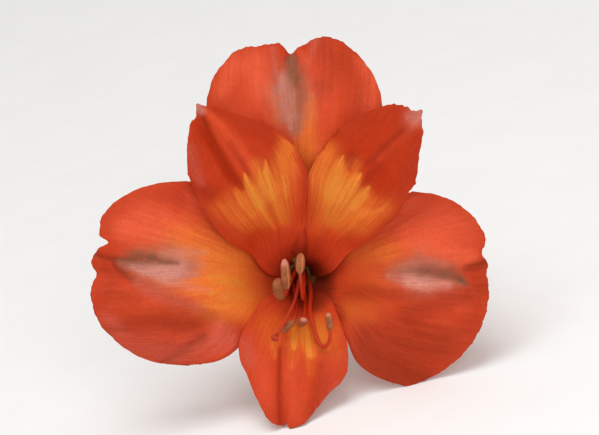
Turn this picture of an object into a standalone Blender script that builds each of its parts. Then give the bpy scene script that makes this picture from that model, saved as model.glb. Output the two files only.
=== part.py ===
"""One alstroemeria flower on its cut stem, lying on a surface with its face looking out and a little up.

The flower is drawn in its own axes, in millimetres, from the middle of the ovary's top: X to the right
and Y up as one looks into the face, and Z out of the throat. An empty then lays it on the surface.
"""

import math
from dataclasses import dataclass

import bmesh
import bpy
from mathutils import Matrix, Vector

MM = 0.001

# The flower lies on the bottom tepal's tip, the right-hand tepal's edge and the stem's cut end, which
# turns its face up by FACE_UP and rolls it over to the right by ROLL.
FACE_UP = math.radians(18.728)
ROLL = math.radians(14.657)
OVARY_TOP_AT = (1.760, -16.648, 15.925)

TEPAL_THICKNESS = 0.7
SEAT_GAP = 0.35
ROWS, COLUMNS = 20, 24
# Rows crowd towards the claw, where the bell is steepest, and columns a little towards the edges.
ROW_CROWDING = 1.9
COLUMN_CROWDING = 0.2
# A claw wraps round the flower's axis out to the first radius, and the blade is flat from the second.
WRAPPED_TO, FLAT_FROM = 4.0, 10.0
# Claws stand evenly round the ovary, and swing to the blade's own direction between these radii.
SWING_FROM, SWING_TO = 3.0, 11.0
# Folds, waves and turned-back edges grow in between these distances from the axis.
RELIEF_FROM, RELIEF_TO = 9.0, 24.0
# Edges turn back as this power of their distance from the middle line.
EDGE_POWER = 2.2

OVARY_LENGTH = 9.0
# Radii at heights given as shares of the length, from the stem's end (-1) to the tepals' end (0).
OVARY_PROFILE = [(-1.0, 1.5), (-0.89, 2.3), (-0.67, 3.6), (-0.39, 4.35), (-0.13, 4.4), (0.0, 4.3)]
OVARY_RINGS, OVARY_SIDES = 10, 36
OVARY_RIBS, OVARY_RIB_SHARE = 6, 0.09

STEM_LENGTH = 68.0
STEM_RADIUS, STEM_CUT_RADIUS = 1.35, 1.55
STEM_LIFT, STEM_SWAY = 11.0, 3.0
STEM_POINTS = 25
# Corners added in each quarter of a round tube, on the stem and on the thin rods.
STEM_CORNERS, ROD_CORNERS = 3, 1
MERGE_DISTANCE = 0.001

FILAMENT_RING = 1.35
FILAMENT_RADIUS, FILAMENT_TIP_RADIUS = 0.48, 0.32
FILAMENT_STRAIGHT = 5.0
ROUTE_STEPS = 3
FOOT_RING_RADIUS, FOOT_RING_STEPS, FOOT_RING_SIDES = 0.48, 24, 8
ANTHER_SIDES, ANTHER_RINGS = 12, 8
ANTHER_SUNK = 0.6
ANTHER_FURROW, ANTHER_FURROW_WIDTH = 0.35, 0.16

STYLE_RADIUS = 0.42
STIGMA_ARMS, STIGMA_SIDES = 3, 6
STIGMA_LENGTH, STIGMA_RADIUS, STIGMA_TIP_RADIUS = 1.7, 0.36, 0.25
STIGMA_SPREAD = math.radians(38)
STIGMA_SUNK = 0.4

SALMON = (0.71, 0.13, 0.045, 1.0)
SCARLET = (0.55, 0.06, 0.02, 1.0)
STAMEN_RED = (0.45, 0.05, 0.02, 1.0)
STYLE_RED = (0.4, 0.04, 0.02, 1.0)
OVARY_GREEN = (0.16, 0.26, 0.06, 1.0)
STEM_GREEN = (0.2, 0.32, 0.08, 1.0)
TEPAL_ROUGHNESS, ROD_ROUGHNESS, GREEN_ROUGHNESS = 0.45, 0.4, 0.5


def smoothstep(low, high, value):
    """0 below low, 1 above high, and a smooth rise between them."""
    share = min(max((value - low) / (high - low), 0.0), 1.0)
    return share * share * (3 - 2 * share)


def along(stations, x):
    """The value at x of the smooth curve through (x, value) stations."""
    if x <= stations[0][0]:
        return stations[0][1]
    if x >= stations[-1][0]:
        return stations[-1][1]
    last = len(stations) - 1
    i = max(n for n in range(last) if stations[n][0] <= x)
    (x0, v0), (x1, v1) = stations[i], stations[i + 1]

    def slope(n):
        before, after = stations[max(n - 1, 0)], stations[min(n + 1, last)]
        return (after[1] - before[1]) / (after[0] - before[0])

    step = x1 - x0
    u = (x - x0) / step
    value = v0 * (1 + 2 * u) * (1 - u) ** 2 + v1 * u * u * (3 - 2 * u)
    return value + step * (slope(i) * u * (1 - u) ** 2 + slope(i + 1) * u * u * (u - 1))


@dataclass
class Bell:
    """The bell that a ring of three tepals lies on: its height over the ovary at a distance from the axis."""

    claw_radius: float
    depth: float
    steepness: float
    flare: float
    recurve_from: float
    recurve: float

    def height(self, radius):
        reach = max(radius - self.claw_radius, 0.0)
        rise = self.depth * (1 - math.exp(-self.steepness * reach**self.flare))
        return rise - self.recurve * max(radius - self.recurve_from, 0.0) ** 2


@dataclass
class Tepal:
    """One tepal, measured along its middle line from the flower's axis, and across from that line.

    Its left side is the one anticlockwise of the middle line as one looks into the face, and its widths
    are positive. A side is a list of (distance, half width) to the shoulder, then a rounded cap to the tip.
    """

    name: str
    bell: Bell
    claw_angle: float
    blade_angle: float
    shoulder: float
    tip: float
    left: list
    right: list
    left_cap: tuple
    right_cap: tuple
    notches: list
    edges_back: float
    folds: list
    wave: tuple
    tip_forward: float
    colour: tuple

    def end(self, t, q):
        """How far the blade reaches at the share t of its half width, with the notches cut in at width q."""
        power, squareness = self.left_cap if t > 0 else self.right_cap
        rounded = (1 - abs(t) ** power) ** squareness
        reach = self.shoulder + (self.tip - self.shoulder) * rounded
        for at, deep, wide in self.notches:
            reach -= deep * math.exp(-(((q - at) / wide) ** 2))
        return reach

    def relief(self, p, q, t):
        """Height of the folds, waves and turned-back edges over the bell."""
        height = -self.edges_back * abs(t) ** EDGE_POWER
        for at, high, wide in self.folds:
            height += high * math.exp(-(((q - at) / wide) ** 2))
        wave_height, wave_length, wave_phase = self.wave
        height += wave_height * abs(t) * math.sin(math.tau * q / wave_length + wave_phase)
        lifted = self.tip_forward * smoothstep(RELIEF_TO, self.tip, p)
        return height * smoothstep(RELIEF_FROM, RELIEF_TO, p) + lifted

    def point(self, s, t):
        """The middle of the sheet at s, from claw (0) to end (1), and t, from right edge (-1) to left (1)."""
        crowded = s**ROW_CROWDING
        claw = self.bell.claw_radius
        q = t * along(self.left if t > 0 else self.right, claw + (self.shoulder - claw) * crowded)
        p = claw + (self.end(t, q) - claw) * crowded
        wrapped = Vector((p * math.cos(q / p), p * math.sin(q / p)))
        flat = wrapped.lerp(Vector((p, q)), smoothstep(WRAPPED_TO, FLAT_FROM, p))
        radius = flat.length
        swing = (self.claw_angle - self.blade_angle) * (1 - smoothstep(SWING_FROM, SWING_TO, radius))
        angle = math.radians(self.blade_angle + swing) + math.atan2(flat.y, flat.x)
        height = SEAT_GAP + self.bell.height(radius) + self.relief(p, q, t)
        return Vector((radius * math.cos(angle), radius * math.sin(angle), height))


OUTER_BELL = Bell(claw_radius=3.6, depth=37.0, steepness=0.17, flare=0.80, recurve_from=25.0, recurve=0.014)
INNER_BELL = Bell(claw_radius=2.5, depth=41.0, steepness=0.165, flare=0.785, recurve_from=30.0, recurve=0.006)
OUTER_CLAW = [(3.6, 2.2), (4.5, 3.0), (5.5, 3.7)]
INNER_CLAW = [(2.5, 1.5), (3.5, 2.25), (5, 3.2)]
WIDE_INNER_CLAW = [(2.5, 1.5), (3.5, 2.5), (5, 4.3)]

TEPALS = [
    Tepal(
        name="tepal_outer_top", bell=OUTER_BELL, claw_angle=90, blade_angle=92, shoulder=33, tip=47.3,
        left=OUTER_CLAW + [(8, 5.2), (12, 8.2), (16, 11.4), (22, 15.0), (28, 17.4), (33, 17.2)],
        right=OUTER_CLAW + [(8, 5.2), (12, 8.2), (16, 11.4), (22, 15.0), (28, 17.4), (33, 17.8)],
        left_cap=(3.4, 0.5), right_cap=(2.8, 0.53),
        notches=[(0.0, 2.8, 1.7), (-2.9, 1.0, 1.5), (6.0, 0.9, 4.0), (-8.5, -0.9, 4.0)],
        edges_back=3.2, folds=[(0.0, -2.0, 2.6), (7.0, 1.0, 4.5), (-7.0, 1.0, 4.5)],
        wave=(0.5, 11.0, 0.6), tip_forward=0.0, colour=SALMON,
    ),
    Tepal(
        name="tepal_outer_left", bell=OUTER_BELL, claw_angle=210, blade_angle=178.5, shoulder=23, tip=41.6,
        left=OUTER_CLAW + [(8, 6.9), (10, 10.8), (12, 14.6), (16, 17.4), (23, 18.5)],
        right=OUTER_CLAW + [(8, 5.6), (12, 9.6), (16, 13.6), (23, 18.3)],
        left_cap=(2.7, 0.5), right_cap=(3.0, 0.5),
        notches=[(-5.5, 2.8, 0.9), (-7.2, 0.8, 1.3), (-4.2, 0.9, 1.1), (0.9, 1.2, 1.8)],
        edges_back=4.0, folds=[(0.3, -2.0, 2.6), (-7.5, 1.2, 4.5), (7.0, 0.8, 4.5)],
        wave=(0.6, 10.0, 0.0), tip_forward=0.0, colour=SALMON,
    ),
    Tepal(
        name="tepal_outer_right", bell=OUTER_BELL, claw_angle=330, blade_angle=357.7, shoulder=22, tip=38.0,
        left=OUTER_CLAW + [(8, 5.6), (12, 9.6), (16, 13.4), (22, 17.9)],
        right=OUTER_CLAW + [(8, 7.6), (10, 12.3), (12, 16.4), (16, 19.3), (22, 21.2)],
        left_cap=(2.85, 0.5), right_cap=(2.4, 0.74),
        notches=[(6.2, 1.5, 1.5), (2.2, 0.6, 2.2)],
        edges_back=4.0, folds=[(0.0, -2.0, 2.6), (7.5, 1.2, 4.5), (-7.0, 0.8, 4.5)],
        wave=(0.6, 12.0, 2.0), tip_forward=0.0, colour=SALMON,
    ),
    Tepal(
        name="tepal_inner_left", bell=INNER_BELL, claw_angle=150, blade_angle=120.6, shoulder=28.5, tip=39.3,
        left=INNER_CLAW + [(8, 5.6), (13.4, 8.8), (18, 9.6), (21.5, 9.9), (28.5, 9.1)],
        right=INNER_CLAW + [(8, 5.8), (12.3, 8.4), (16.6, 11.0), (21.5, 12.1), (28.5, 10.4)],
        left_cap=(1.4, 0.88), right_cap=(1.25, 1.0),
        notches=[],
        edges_back=1.6, folds=[(1.2, -1.5, 1.6), (-1.8, 0.7, 2.0)],
        wave=(0.4, 9.0, 1.0), tip_forward=0.8, colour=SCARLET,
    ),
    Tepal(
        name="tepal_inner_right", bell=INNER_BELL, claw_angle=30, blade_angle=54, shoulder=28.5, tip=40.7,
        left=INNER_CLAW + [(8, 4.4), (13.1, 7.2), (17, 9.8), (21, 10.6), (28.5, 10.5)],
        right=INNER_CLAW + [(8, 4.8), (13.2, 6.8), (17, 7.8), (22, 8.4), (28.5, 7.8)],
        left_cap=(2.05, 0.8), right_cap=(1.3, 1.0),
        notches=[(2.4, 0.6, 1.0)],
        edges_back=1.6, folds=[(-1.0, -1.2, 1.8), (1.8, 0.5, 2.2)],
        wave=(0.4, 9.0, 2.4), tip_forward=0.8, colour=SCARLET,
    ),
    Tepal(
        name="tepal_inner_bottom", bell=INNER_BELL, claw_angle=270, blade_angle=266.2, shoulder=18, tip=30.6,
        left=WIDE_INNER_CLAW + [(7, 7.6), (11, 10.0), (14.5, 10.8), (18, 10.9)],
        right=WIDE_INNER_CLAW + [(7, 7.4), (11, 10.0), (14.5, 11.1), (18, 10.5)],
        left_cap=(1.35, 1.0), right_cap=(1.6, 0.9),
        notches=[(-0.5, 1.2, 0.5)],
        edges_back=2.6, folds=[(-1.2, -1.2, 1.5), (6.5, -0.6, 2.0)],
        wave=(0.3, 8.0, 0.5), tip_forward=-0.8, colour=SALMON,
    ),
]


@dataclass
class Stamen:
    """A filament's foot and the route it takes, and how its anther points, faces and is sized."""

    foot_angle: float
    route: list
    anther_along: tuple
    anther_facing: tuple
    anther_size: tuple


STAMENS = [
    Stamen(
        foot_angle=120,
        route=[(-1.0, 0.2, 12), (-2.0, -1.9, 18.5), (-2.6, -3.8, 23.6), (-2.5, -2.3, 26.2)],
        anther_along=(-0.075, 0.95, 0.3), anther_facing=(0.2, -0.3, 1), anther_size=(2.0, 1.6, 6.6),
    ),
    Stamen(
        foot_angle=180,
        route=[(-1.9, -0.7, 12), (-3.1, -2.8, 17.5), (-3.75, -4.7, 21.5), (-3.6, -4.5, 23.2)],
        anther_along=(-0.15, 0.9, 0.35), anther_facing=(-0.1, -0.3, 1), anther_size=(2.8, 1.6, 5.0),
    ),
    Stamen(
        foot_angle=60,
        route=[(0.9, 0.1, 12), (0.95, -2.4, 18), (0.8, -4.7, 23.4), (0.45, -2.2, 26.2), (0.15, 1.0, 28.2)],
        anther_along=(0.06, 0.97, 0.25), anther_facing=(0.1, -0.2, 1), anther_size=(1.9, 1.5, 4.3),
    ),
    Stamen(
        foot_angle=240,
        route=[(-1.0, -2.4, 12), (-0.6, -4.6, 18), (-0.6, -7.4, 24), (-1.2, -9.2, 27.6)],
        anther_along=(-0.73, -0.7, 0.2), anther_facing=(0.1, 0.4, 1), anther_size=(1.4, 1.3, 3.8),
    ),
    Stamen(
        foot_angle=300,
        route=[(0.7, -2.5, 12), (1.2, -4.6, 18), (1.2, -7.4, 24.4), (0.3, -9.9, 28.6)],
        anther_along=(0.2, 0.33, 0.92), anther_facing=(0.2, 1.0, -0.2), anther_size=(1.7, 1.4, 4.6),
    ),
    Stamen(
        foot_angle=0,
        route=[(1.9, -0.9, 12), (2.4, -3.4, 18.5), (2.2, -7.0, 25.5), (2.9, -10.0, 28.6), (3.7, -12.7, 30.4),
               (4.7, -14.0, 31.4), (5.7, -13.6, 32.1), (6.2, -12.0, 32.4), (6.2, -10.3, 32.6)],
        anther_along=(-0.13, 0.98, 0.15), anther_facing=(0.1, -0.1, 1), anther_size=(1.5, 1.4, 3.7),
    ),
]
STYLE_ROUTE = [
    (0, 0, SEAT_GAP), (0, -0.2, 6), (-0.1, -1.2, 12), (-0.4, -3.3, 18),
    (-1.2, -5.9, 23.6), (-3.1, -9.6, 29.2), (-4.7, -12.2, 32),
]


def finish(name, colour, roughness):
    material = bpy.data.materials.new(name)
    material.use_nodes = True
    shader = material.node_tree.nodes["Principled BSDF"]
    shader.inputs["Base Color"].default_value = colour
    shader.inputs["Roughness"].default_value = roughness
    shader.inputs["Metallic"].default_value = 0.0
    return material


def add_object(name, data, material, parent):
    data.materials.clear()
    data.materials.append(material)
    placed = bpy.data.objects.new(name, data)
    bpy.context.scene.collection.objects.link(placed)
    placed.parent = parent
    return placed


def mesh_from(shape, name):
    """A bmesh drawn in millimetres, as a smooth-shaded mesh in metres."""
    bmesh.ops.scale(shape, vec=(MM, MM, MM), verts=shape.verts)
    mesh = bpy.data.meshes.new(name)
    shape.to_mesh(mesh)
    shape.free()
    mesh.shade_smooth()
    return mesh


def evaluated_mesh(placed):
    bpy.context.view_layer.update()
    graph = bpy.context.evaluated_depsgraph_get()
    return bpy.data.meshes.new_from_object(placed.evaluated_get(graph))


def fuse(name, meshes, material, parent):
    """One object whose body is the union of closed meshes that run into one another."""
    body = add_object(name, meshes[0], material, parent)
    others = bpy.data.collections.new(name)
    bpy.context.scene.collection.children.link(others)
    for mesh in meshes[1:]:
        piece = bpy.data.objects.new(mesh.name, mesh)
        piece.parent = parent
        others.objects.link(piece)
    union = body.modifiers.new("union", "BOOLEAN")
    union.operation = "UNION"
    union.operand_type = "COLLECTION"
    union.collection = others
    joined = evaluated_mesh(body)
    body.modifiers.clear()
    body.data = joined
    for piece in list(others.objects):
        bpy.data.objects.remove(piece)
    bpy.data.collections.remove(others)
    return body


def share_of_width(column):
    even = 2 * column / COLUMNS - 1
    return even * (1 + COLUMN_CROWDING * (1 - even * even))


def add_tepal(tepal, parent):
    """A grid laid on the tepal's surface, split into triangles, then given its thickness."""
    shape = bmesh.new()
    shares = [share_of_width(column) for column in range(COLUMNS + 1)]
    rows = [[shape.verts.new(tepal.point(row / ROWS, t)) for t in shares] for row in range(ROWS + 1)]
    for lower, upper in zip(rows, rows[1:]):
        for n in range(COLUMNS):
            shape.faces.new((lower[n], upper[n], upper[n + 1], lower[n + 1]))
    bmesh.ops.triangulate(shape, faces=shape.faces)
    mesh = mesh_from(shape, tepal.name)
    petal = finish(tepal.name, tepal.colour, TEPAL_ROUGHNESS)
    placed = add_object(tepal.name, mesh, petal, parent)
    sheet = placed.modifiers.new("thickness", "SOLIDIFY")
    sheet.thickness = TEPAL_THICKNESS * MM
    sheet.offset = 0.0


def add_ovary(parent):
    """Rings bridged into a body with rounded ribs, which fade out at both ends."""
    shape = bmesh.new()
    rings = []
    for n in range(OVARY_RINGS + 1):
        share = n / OVARY_RINGS - 1
        rib = -OVARY_RIB_SHARE * math.sin(math.pi * share)
        ring = []
        for side in range(OVARY_SIDES):
            angle = math.tau * side / OVARY_SIDES
            radius = along(OVARY_PROFILE, share) * (1 + rib * math.cos(OVARY_RIBS * angle))
            place = (radius * math.cos(angle), radius * math.sin(angle), OVARY_LENGTH * share)
            ring.append(shape.verts.new(place))
        rings.append([shape.edges.new((a, b)) for a, b in zip(ring, ring[1:] + ring[:1])])
    for lower, upper in zip(rings, rings[1:]):
        bmesh.ops.bridge_loops(shape, edges=lower + upper)
    bmesh.ops.holes_fill(shape, edges=rings[0] + rings[-1])
    bmesh.ops.recalc_face_normals(shape, faces=shape.faces)
    green = finish("ovary", OVARY_GREEN, GREEN_ROUGHNESS)
    add_object("ovary", mesh_from(shape, "ovary"), green, parent)


def smooth_route(points):
    """Points read from the smooth curve through the route's own points."""
    route = [Vector(p) for p in points]
    ends = [2 * route[0] - route[1], *route, 2 * route[-1] - route[-2]]
    read = []
    for a, b, c, d in zip(ends, ends[1:], ends[2:], ends[3:]):
        for n in range(ROUTE_STEPS):
            u = n / ROUTE_STEPS
            bend = (2 * a - 5 * b + 4 * c - d) * u**2 + (3 * b - a - 3 * c + d) * u**3
            read.append(b + 0.5 * ((c - a) * u + bend))
    return read + [route[-1]]


def add_tube(name, route, radii, corners, material, parent):
    """A round tube along the route, whose radius goes evenly from the first of the radii to the second."""
    curve = bpy.data.curves.new(name, "CURVE")
    curve.dimensions = "3D"
    curve.bevel_depth = MM
    curve.bevel_resolution = corners
    curve.use_fill_caps = True
    spline = curve.splines.new("POLY")
    spline.points.add(len(route) - 1)
    for n, place in enumerate(route):
        spline.points[n].co = (*(place * MM), 1.0)
        spline.points[n].radius = radii[0] + (radii[1] - radii[0]) * n / (len(route) - 1)
    return add_object(name, curve, material, parent)


def tube_mesh(name, route, radii, material):
    """The same tube as a closed mesh, ready to be fused."""
    tube = add_tube(name, route, radii, ROD_CORNERS, material, None)
    mesh = evaluated_mesh(tube)
    bpy.data.objects.remove(tube)
    shape = bmesh.new()
    shape.from_mesh(mesh)
    bmesh.ops.remove_doubles(shape, verts=shape.verts, dist=MERGE_DISTANCE * MM)
    shape.to_mesh(mesh)
    shape.free()
    return mesh


def add_stem(parent):
    """Straight out of the ovary, then easing over to meet the surface at its cut end."""
    up = Vector((-math.sin(ROLL), math.cos(ROLL), 0.0))
    side = Vector((math.cos(ROLL), math.sin(ROLL), 0.0))
    start = Vector((0.0, 0.0, -OVARY_LENGTH - SEAT_GAP))
    route = []
    for n in range(STEM_POINTS):
        share = n / (STEM_POINTS - 1)
        bent = up * STEM_LIFT * share**2 + side * STEM_SWAY * share * math.sin(math.pi * share)
        route.append(start + Vector((0.0, 0.0, -STEM_LENGTH * share)) + bent)
    green = finish("stem", STEM_GREEN, GREEN_ROUGHNESS)
    add_tube("stem", route, (STEM_RADIUS, STEM_CUT_RADIUS), STEM_CORNERS, green, parent)


def foot_ring_mesh():
    """The low ring in which the six filaments' feet join, a circle spun round the style."""
    shape = bmesh.new()
    bmesh.ops.create_circle(shape, segments=FOOT_RING_SIDES, radius=FOOT_RING_RADIUS)
    upright = Matrix.Rotation(math.pi / 2, 4, "X")
    moved = Matrix.Translation((FILAMENT_RING, 0, SEAT_GAP + FOOT_RING_RADIUS))
    bmesh.ops.transform(shape, matrix=moved @ upright, verts=shape.verts)
    circle = shape.verts[:] + shape.edges[:]
    bmesh.ops.spin(shape, geom=circle, axis=(0, 0, 1), angle=math.tau, steps=FOOT_RING_STEPS, use_merge=True)
    bmesh.ops.recalc_face_normals(shape, faces=shape.faces)
    return mesh_from(shape, "foot_ring")


def filament_mesh(stamen, material):
    foot = Matrix.Rotation(math.radians(stamen.foot_angle), 3, "Z") @ Vector((FILAMENT_RING, 0, 0))
    foot.z = SEAT_GAP + FOOT_RING_RADIUS
    route = smooth_route([foot, foot + Vector((0, 0, FILAMENT_STRAIGHT)), *stamen.route])
    return tube_mesh("filament", route, (FILAMENT_RADIUS, FILAMENT_TIP_RADIUS), material)


def anther_mesh(stamen):
    """Two pollen sacs side by side with a furrow between them, sunk a little over the filament's tip."""
    shape = bmesh.new()
    bmesh.ops.create_uvsphere(shape, u_segments=ANTHER_SIDES, v_segments=ANTHER_RINGS, radius=0.5)
    wide, deep, long = stamen.anther_size
    for vert in shape.verts:
        x, y, z = vert.co
        furrowed = 1 - ANTHER_FURROW * math.exp(-((x / ANTHER_FURROW_WIDTH) ** 2))
        vert.co = (wide * x, deep * y * furrowed, long * z)
    up = Vector(stamen.anther_along).normalized()
    across = up.cross(Vector(stamen.anther_facing)).normalized()
    turn = Matrix((across, up.cross(across), up)).transposed().to_4x4()
    centre = Vector(stamen.route[-1]) + up * (long / 2 - ANTHER_SUNK)
    bmesh.ops.transform(shape, matrix=Matrix.Translation(centre) @ turn, verts=shape.verts)
    return mesh_from(shape, "anther")


def add_stamens(parent):
    red = finish("stamens", STAMEN_RED, ROD_ROUGHNESS)
    meshes = [foot_ring_mesh()]
    for stamen in STAMENS:
        meshes += [filament_mesh(stamen, red), anther_mesh(stamen)]
    fuse("stamens", meshes, red, parent)


def add_style(parent):
    """The style's rod with the three short arms of its stigma."""
    red = finish("style", STYLE_RED, ROD_ROUGHNESS)
    route = smooth_route(STYLE_ROUTE)
    meshes = [tube_mesh("style_rod", route, (STYLE_RADIUS, STYLE_RADIUS), red)]
    heading = (route[-1] - route[-2]).normalized()
    onward = heading.to_track_quat("Z", "Y").to_matrix().to_4x4()
    seat = Matrix.Translation(route[-1] - heading * STIGMA_SUNK) @ onward
    for n in range(STIGMA_ARMS):
        arm = bmesh.new()
        radii = {"radius1": STIGMA_RADIUS, "radius2": STIGMA_TIP_RADIUS}
        bmesh.ops.create_cone(arm, cap_ends=True, segments=STIGMA_SIDES, depth=STIGMA_LENGTH, **radii)
        bmesh.ops.translate(arm, vec=(0, 0, STIGMA_LENGTH / 2), verts=arm.verts)
        lean = Matrix.Rotation(math.tau * n / STIGMA_ARMS, 4, "Z") @ Matrix.Rotation(STIGMA_SPREAD, 4, "X")
        bmesh.ops.transform(arm, matrix=seat @ lean, verts=arm.verts)
        meshes.append(mesh_from(arm, "stigma_arm"))
    fuse("style", meshes, red, parent)


def main():
    for old in list(bpy.data.objects):
        bpy.data.objects.remove(old)
    flower = bpy.data.objects.new("flower", None)
    bpy.context.scene.collection.objects.link(flower)
    for tepal in TEPALS:
        add_tepal(tepal, flower)
    add_ovary(flower)
    add_stem(flower)
    add_stamens(flower)
    add_style(flower)
    flower.rotation_mode = "ZYX"
    flower.rotation_euler = (math.pi / 2 - FACE_UP, 0.0, -ROLL)
    flower.location = Vector(OVARY_TOP_AT) * MM


main()
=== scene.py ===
# %% [markdown]
# # One alstroemeria bloom, lying on a pale surface
#
# An alstroemeria flower has six tepals in two rings: three broad outer ones and three narrow inner ones.
# They wrap round a green ovary at their narrow feet, the claws, and open into a trumpet. Six stamens and
# a style come up its lower side. This lesson builds the bloom around a measured frame, which gives the
# place and size of every part, and then gives each part its fine shape, its markings and its finish.

# %% Load the frame
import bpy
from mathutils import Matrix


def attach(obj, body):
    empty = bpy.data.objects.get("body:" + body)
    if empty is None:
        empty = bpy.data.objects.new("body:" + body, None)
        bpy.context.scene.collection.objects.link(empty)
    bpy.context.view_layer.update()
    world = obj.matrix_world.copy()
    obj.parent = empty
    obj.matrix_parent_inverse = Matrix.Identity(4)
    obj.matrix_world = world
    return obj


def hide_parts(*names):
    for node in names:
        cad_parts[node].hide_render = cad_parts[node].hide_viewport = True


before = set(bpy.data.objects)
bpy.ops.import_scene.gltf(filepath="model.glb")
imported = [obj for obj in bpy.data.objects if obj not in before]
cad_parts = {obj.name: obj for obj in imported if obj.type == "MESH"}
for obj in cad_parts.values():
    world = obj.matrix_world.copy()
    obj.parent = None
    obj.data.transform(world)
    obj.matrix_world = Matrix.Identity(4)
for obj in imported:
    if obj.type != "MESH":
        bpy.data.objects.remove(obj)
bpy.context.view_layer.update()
print("frame nodes:", ", ".join(sorted(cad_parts)))

# %% Modules
import math
from dataclasses import dataclass, field

import bpy
import numpy as np
from mathutils import Matrix, Vector

MM = 0.001
print("lengths below are in millimetres, and one of them is", MM, "of Blender's metres")

# %% [markdown]
# ## The flower's own axes
#
# A flower is easiest to describe as one looks into its face: X to the right, Y up, and Z out of the
# throat, in millimetres from the middle of the ovary's top. One matrix then lays it on the surface, with
# its face turned a little up and rolled a little to the right, as a heavy bloom on a thin stem settles.

# %% From the flower's axes to the world
FACE_UP = math.radians(18.728)
ROLL = math.radians(14.657)
OVARY_TOP_AT = (1.760, -16.648, 15.925)

turned = Matrix.Rotation(math.pi / 2 - FACE_UP, 4, "X") @ Matrix.Rotation(-ROLL, 4, "Z")
LAID = Matrix.Translation(Vector(OVARY_TOP_AT) * MM) @ turned


def to_world(points):
    """Points in the flower's axes and millimetres, as world points in metres."""
    points = np.atleast_2d(np.asarray(points, float)) * MM
    return points @ np.array(LAID.to_3x3()).T + np.array(LAID.translation)


print("ovary top at", tuple(round(c, 4) for c in to_world((0, 0, 0))[0]))


# %% Two curves that most shapes use
def smoothstep(low, high, value):
    """0 below low, 1 above high, and a smooth rise between them."""
    share = np.clip((value - low) / (high - low), 0.0, 1.0)
    return share * share * (3 - 2 * share)


def along(stations, x):
    """The smooth curve through (place, value) stations, read at every x."""
    places, values = np.array(stations, float).T
    x = np.clip(x, places[0], places[-1])
    rise = np.append(values[1:], values[-1]) - np.append(values[0], values[:-1])
    slopes = rise / (np.append(places[1:], places[-1]) - np.append(places[0], places[:-1]))
    i = np.clip(np.searchsorted(places, x, side="right") - 1, 0, len(places) - 2)
    step = places[i + 1] - places[i]
    u = (x - places[i]) / step
    value = values[i] * (1 + 2 * u) * (1 - u) ** 2 + values[i + 1] * u * u * (3 - 2 * u)
    return value + step * (slopes[i] * u * (1 - u) ** 2 + slopes[i + 1] * u * u * (u - 1))


# %% [markdown]
# ## The camera
#
# The bloom is seen straight along its own axis, so the camera borrows the flower's turned axes. A long
# lens from a metre away keeps the near and far tepals at one scale, as in a studio close-up.

# %% Camera
VIEW_CENTRE = Vector((0.1, 11.7, 29.0))
VIEW_WIDTH = 119.8
CAMERA_DISTANCE = 1000.0

lens = bpy.data.cameras.new("camera")
lens.lens = lens.sensor_width * CAMERA_DISTANCE / VIEW_WIDTH
lens.clip_start, lens.clip_end = 0.05, 20.0
camera = bpy.data.objects.new("camera", lens)
camera.matrix_world = LAID @ Matrix.Translation((VIEW_CENTRE + Vector((0, 0, CAMERA_DISTANCE))) * MM)
bpy.context.scene.collection.objects.link(camera)
bpy.context.scene.camera = camera
print(f"camera lens {lens.lens:.0f} mm")

# %% [markdown]
# ## The shape of a tepal
#
# Each ring of tepals lies on a bell: a steep tube at the claws that flares and then curls back. A tepal
# is a sheet on its bell. Its outline is a list of half widths on each side of its middle line, then a
# rounded end with notches. Folds along it, waves across it and turned-back edges give it life. A flat
# shape could be bent by hand instead, but a formula bends all six in one way and is easy to adjust.
#
# The numbers are those that the frame's solids were made from, so each sheet lies where its solid lies.
# A few margins run up to a millimetre outside or inside the solid's, where tepals meet or end.


# %% A bell
@dataclass
class Bell:
    """The bell that a ring of tepals lies on, as its height over the ovary at a distance from the axis."""

    claw_radius: float
    depth: float
    steepness: float
    flare: float
    recurve_from: float
    recurve: float

    def height(self, radius):
        reach = np.maximum(radius - self.claw_radius, 0.0)
        rise = self.depth * (1 - np.exp(-self.steepness * reach**self.flare))
        return rise - self.recurve * np.maximum(radius - self.recurve_from, 0.0) ** 2


OUTER_BELL = Bell(claw_radius=3.6, depth=37, steepness=0.17, flare=0.80, recurve_from=25, recurve=0.014)
INNER_BELL = Bell(claw_radius=2.5, depth=41, steepness=0.165, flare=0.785, recurve_from=30, recurve=0.006)
print("30 mm out, the outer bell is", round(float(OUTER_BELL.height(30.0)), 1), "mm deep")

# %% A tepal on its bell
# The middle of a sheet starts this far over the ovary's top.
SEAT_GAP = 0.35
# Rows crowd towards the claw, where the bell is steepest.
ROW_CROWDING = 1.5
# A claw wraps round the flower's axis out to the first radius, and the blade is flat from the second.
WRAPPED_TO, FLAT_FROM = 4.0, 10.0
# Claws stand evenly round the ovary, and swing to the blade's own direction between these radii.
SWING_FROM, SWING_TO = 3.0, 11.0
# Folds, waves and turned-back edges grow in between these distances from the axis.
RELIEF_FROM, RELIEF_TO = 9.0, 24.0
# Edges turn back as this power of their distance from the middle line.
EDGE_POWER = 2.2


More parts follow.
